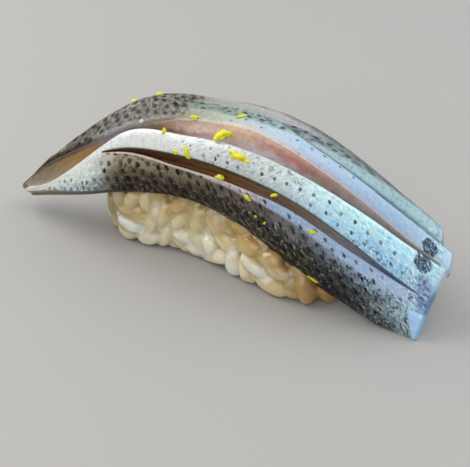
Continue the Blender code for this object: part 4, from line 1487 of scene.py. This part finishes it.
def grain_marks(place, tree, grain_of):
    """The close grains' shares of a place, how much it is in a seam, and how much it is on a grain."""
    found = tree.find_n(place, SPINES_NEAR)
    share, seam = {}, 0.0
    for _, index, away in found:
        grain = grain_of[index]
        further = away - found[0][2]
        share[grain] = max(share.get(grain, 0.0), 1.0 - further / GRAIN_BLEND)
        if grain != grain_of[found[0][1]]:
            seam = max(seam, 1.0 - further / SEAM_WIDTH)
    return share, seam, min(max((WHITE_REACH - found[0][2]) / GRAIN_BLEND, 0.0), 1.0)


def mark_grains(made, spines, whiteness_and_highlight, fish):
    """Store each point's random tint, whiteness, seam and grain, and how far it is from the fillet."""
    rng = random.Random(SEED)
    values = {"tint": [rng.random() for _ in spines], "whiteness_and_highlight": whiteness_and_highlight}
    tree, grain_of = spine_tree(spines)
    places = [vertex.co / MM - SHIFT for vertex in made.data.vertices]
    shares, seams, on_grain = zip(*(grain_marks(place, tree, grain_of) for place in places))
    for name, value in values.items():
        mixed = [sum(value[grain] * weight for grain, weight in share.items()) for share in shares]
        add_field(made, name, [total / sum(share.values()) for total, share in zip(mixed, shares)])
    add_field(made, "seam", seams)
    add_field(made, "on_grain", on_grain)
    add_field(made, "from_fish", [fish.find_nearest(place)[3] for place in places])


def make_rice(fish):
    """The pressed rice as one sticky piece: a core, the grains that the near side shows and the others."""
    rng = random.Random(SEED)
    shown, whiteness_and_highlight = [], []
    for x, z, turn, length, white in SHOWN_GRAINS:
        size = (length, SHOWN_WIDTH * rng.uniform(0.95, 1.08), SHOWN_HEIGHT)
        lifts = (SHOWN_FIRST_LIFT + WHITE_LIFT * white, *SHOWN_LIFTS)
        points = lay_grain(fish, (x, -1, z), math.radians(turn), 0.0, size, lifts, SHOWN_STEPS, rng)
        if points:
            shown.append(points)
            whiteness_and_highlight.append(white)
    rest = spread_grains(fish, shown)
    made = melt([make_core(fish), grain_piece("shown grains", shown, SHOWN_STEPS),
                 grain_piece("other grains", rest, OTHER_STEPS)])
    made.name = "pressed_rice"
    whiteness_and_highlight += [rng.choice((0.0, 0.0, 0.0, 0.3)) for _ in rest]
    spines = [spine(points, SHOWN_STEPS) for points in shown]
    spines += [spine(points, OTHER_STEPS) for points in rest]
    mark_grains(made, spines, whiteness_and_highlight, fish)
    made.data.materials.append(rice_look())
    smooth_shade(made)
    piece_ready(made, "rice")


# The zest

CRUMB_LIFT = 0.12  # how high a crumb's middle lies above the skin, as a share of its height


def skin_frame(x, across, turn, lift):
    """A frame on the skin: its z is the skin's normal, and its x is turned from the fillet's length."""
    spot_x, spot_across = np.array([float(x)]), np.array([float(across)])
    here = Vector(form.place(spot_x, spot_across, 0.0)[0])
    normal = Vector(form.normal(spot_x, spot_across)[0])
    along = Vector(form.place(spot_x + 0.5, spot_across, 0.0)[0]) - here
    along = (along - normal * along.dot(normal)).normalized()
    made = Matrix((along, normal.cross(along), normal)).transposed().to_4x4()
    made.translation = here + normal * lift
    return made @ Matrix.Rotation(math.radians(turn), 4, "Z")


def crumb(length, width, height, seed):
    """One torn crumb of zest, from an ico sphere pulled out of round."""
    deselect()
    bpy.ops.mesh.primitive_ico_sphere_add(subdivisions=4, radius=0.5)
    made = bpy.context.object
    for vertex in made.data.vertices:
        push = 0.92 + 0.5 * relief.noise(vertex.co * 2.2 + Vector((seed * 3.7, 0, 0)))
        push += 0.12 * relief.noise(vertex.co * 6.0 + Vector((0, seed * 2.3, 0)))
        vertex.co = Vector((vertex.co.x * length, vertex.co.y * width, vertex.co.z * height)) * push
    return made


ZEST_FINISH = {
    "Roughness": 0.4, "Coat Weight": 0.3, "Subsurface Weight": 0.2, "Subsurface Radius": (1.0, 0.9, 0.2),
    "Subsurface Scale": 0.0008}


def zest_look():
    """Citrus zest: lemon yellow, with paler and greener places."""
    look, tree, shader = new_look("citrus zest")
    place = put(tree, "ShaderNodeTexCoord").outputs["Object"]
    greener = step(tree, cloud(tree, place, 700.0, 3.0), 0.35, 0.65)
    paler = step(tree, cloud(tree, place, 1500.0), 0.6, 0.72)
    colour = tint(tree, greener, srgb(186, 190, 0), srgb(226, 222, 10))
    colour = tint(tree, paler, colour, srgb(240, 236, 90))
    finish_look(shader, colour, cloud(tree, place, 2500.0), 0.0001, ZEST_FINISH)
    return look


def make_zest():
    """All the crumbs as one piece."""
    look = zest_look()
    crumbs = []
    for seed, (x, across, length, width, height, turn) in enumerate(ZEST):
        made = crumb(length, width, height, seed)
        made.data.transform(skin_frame(x, across, turn, height * CRUMB_LIFT))
        made.data.transform(Matrix.Translation(SHIFT))
        made.data.transform(Matrix.Scale(MM, 4))
        made.data.materials.append(look)
        crumbs.append(made)
    deselect()
    for made in crumbs:
        made.select_set(True)
    bpy.context.view_layer.objects.active = crumbs[0]
    bpy.ops.object.join()
    joined = bpy.context.object
    joined.name = "zest"
    smooth_shade(joined)
    piece_ready(joined, "fish")


# The stage

CAMERA_PLACE = (0.074936, -0.116454, 0.095)
CAMERA_AZIMUTH = 32.0
CAMERA_PITCH = 34.0
CAMERA_LENS = 61.97
SENSOR = 36.0
FLOOR_SIZE = 3.0
FLOOR_COLOUR = (0.38, 0.37, 0.36, 1)
STUDIO_COLOUR = (0.92, 0.92, 0.92, 1)
STUDIO_STRENGTH = 0.5
LIGHT_AIM = (0, 0, 0.01)
# Square lights: name, place, size, power and colour.
LIGHTS = (
    ("key", (-0.42, -0.02, 0.38), 0.5, 2.5, (1.0, 0.99, 0.97)),
    ("sky", (0.3, 0.3, 0.42), 0.6, 2.2, (0.92, 0.97, 1.0)),
    ("fill", (0.1, -0.42, 0.32), 0.5, 0.9, (1.0, 0.97, 0.93)),
)


def add_camera():
    """A camera at the photograph's viewing angle."""
    data = bpy.data.cameras.new("camera")
    data.lens = CAMERA_LENS
    data.sensor_width = SENSOR
    data.clip_start = 0.005
    made = bpy.data.objects.new("camera", data)
    made.location = CAMERA_PLACE
    made.rotation_euler = (math.radians(90 - CAMERA_PITCH), 0, math.radians(CAMERA_AZIMUTH))
    bpy.context.scene.collection.objects.link(made)
    bpy.context.scene.camera = made


def add_light(name, place, size, power, colour):
    """A soft square light that faces the object."""
    data = bpy.data.lights.new(name, "AREA")
    data.shape = "SQUARE"
    data.size = size
    data.energy = power
    data.color = colour
    made = bpy.data.objects.new(name, data)
    made.location = place
    made.rotation_euler = (Vector(LIGHT_AIM) - Vector(place)).to_track_quat("-Z", "Y").to_euler()
    bpy.context.scene.collection.objects.link(made)


def add_stage():
    """A pale floor, soft lights and a pale surrounding."""
    deselect()
    bpy.ops.mesh.primitive_plane_add(size=FLOOR_SIZE)
    floor = bpy.context.object
    floor.name = "floor"
    look, _, shader = new_look("pale floor")
    shader.inputs["Base Color"].default_value = FLOOR_COLOUR
    shader.inputs["Roughness"].default_value = 0.6
    floor.data.materials.append(look)
    world = bpy.data.worlds.new("studio")
    world.use_nodes = True
    background = world.node_tree.nodes["Background"]
    background.inputs["Color"].default_value = STUDIO_COLOUR
    background.inputs["Strength"].default_value = STUDIO_STRENGTH
    bpy.context.scene.world = world
    for light in LIGHTS:
        add_light(*light)


bpy.context.scene.view_settings.view_transform = "Standard"
add_stage()
add_camera()
fillet = make_fillet()
piece_ready(fillet, "fish")
make_rice(fish_tree(fillet))
make_zest()
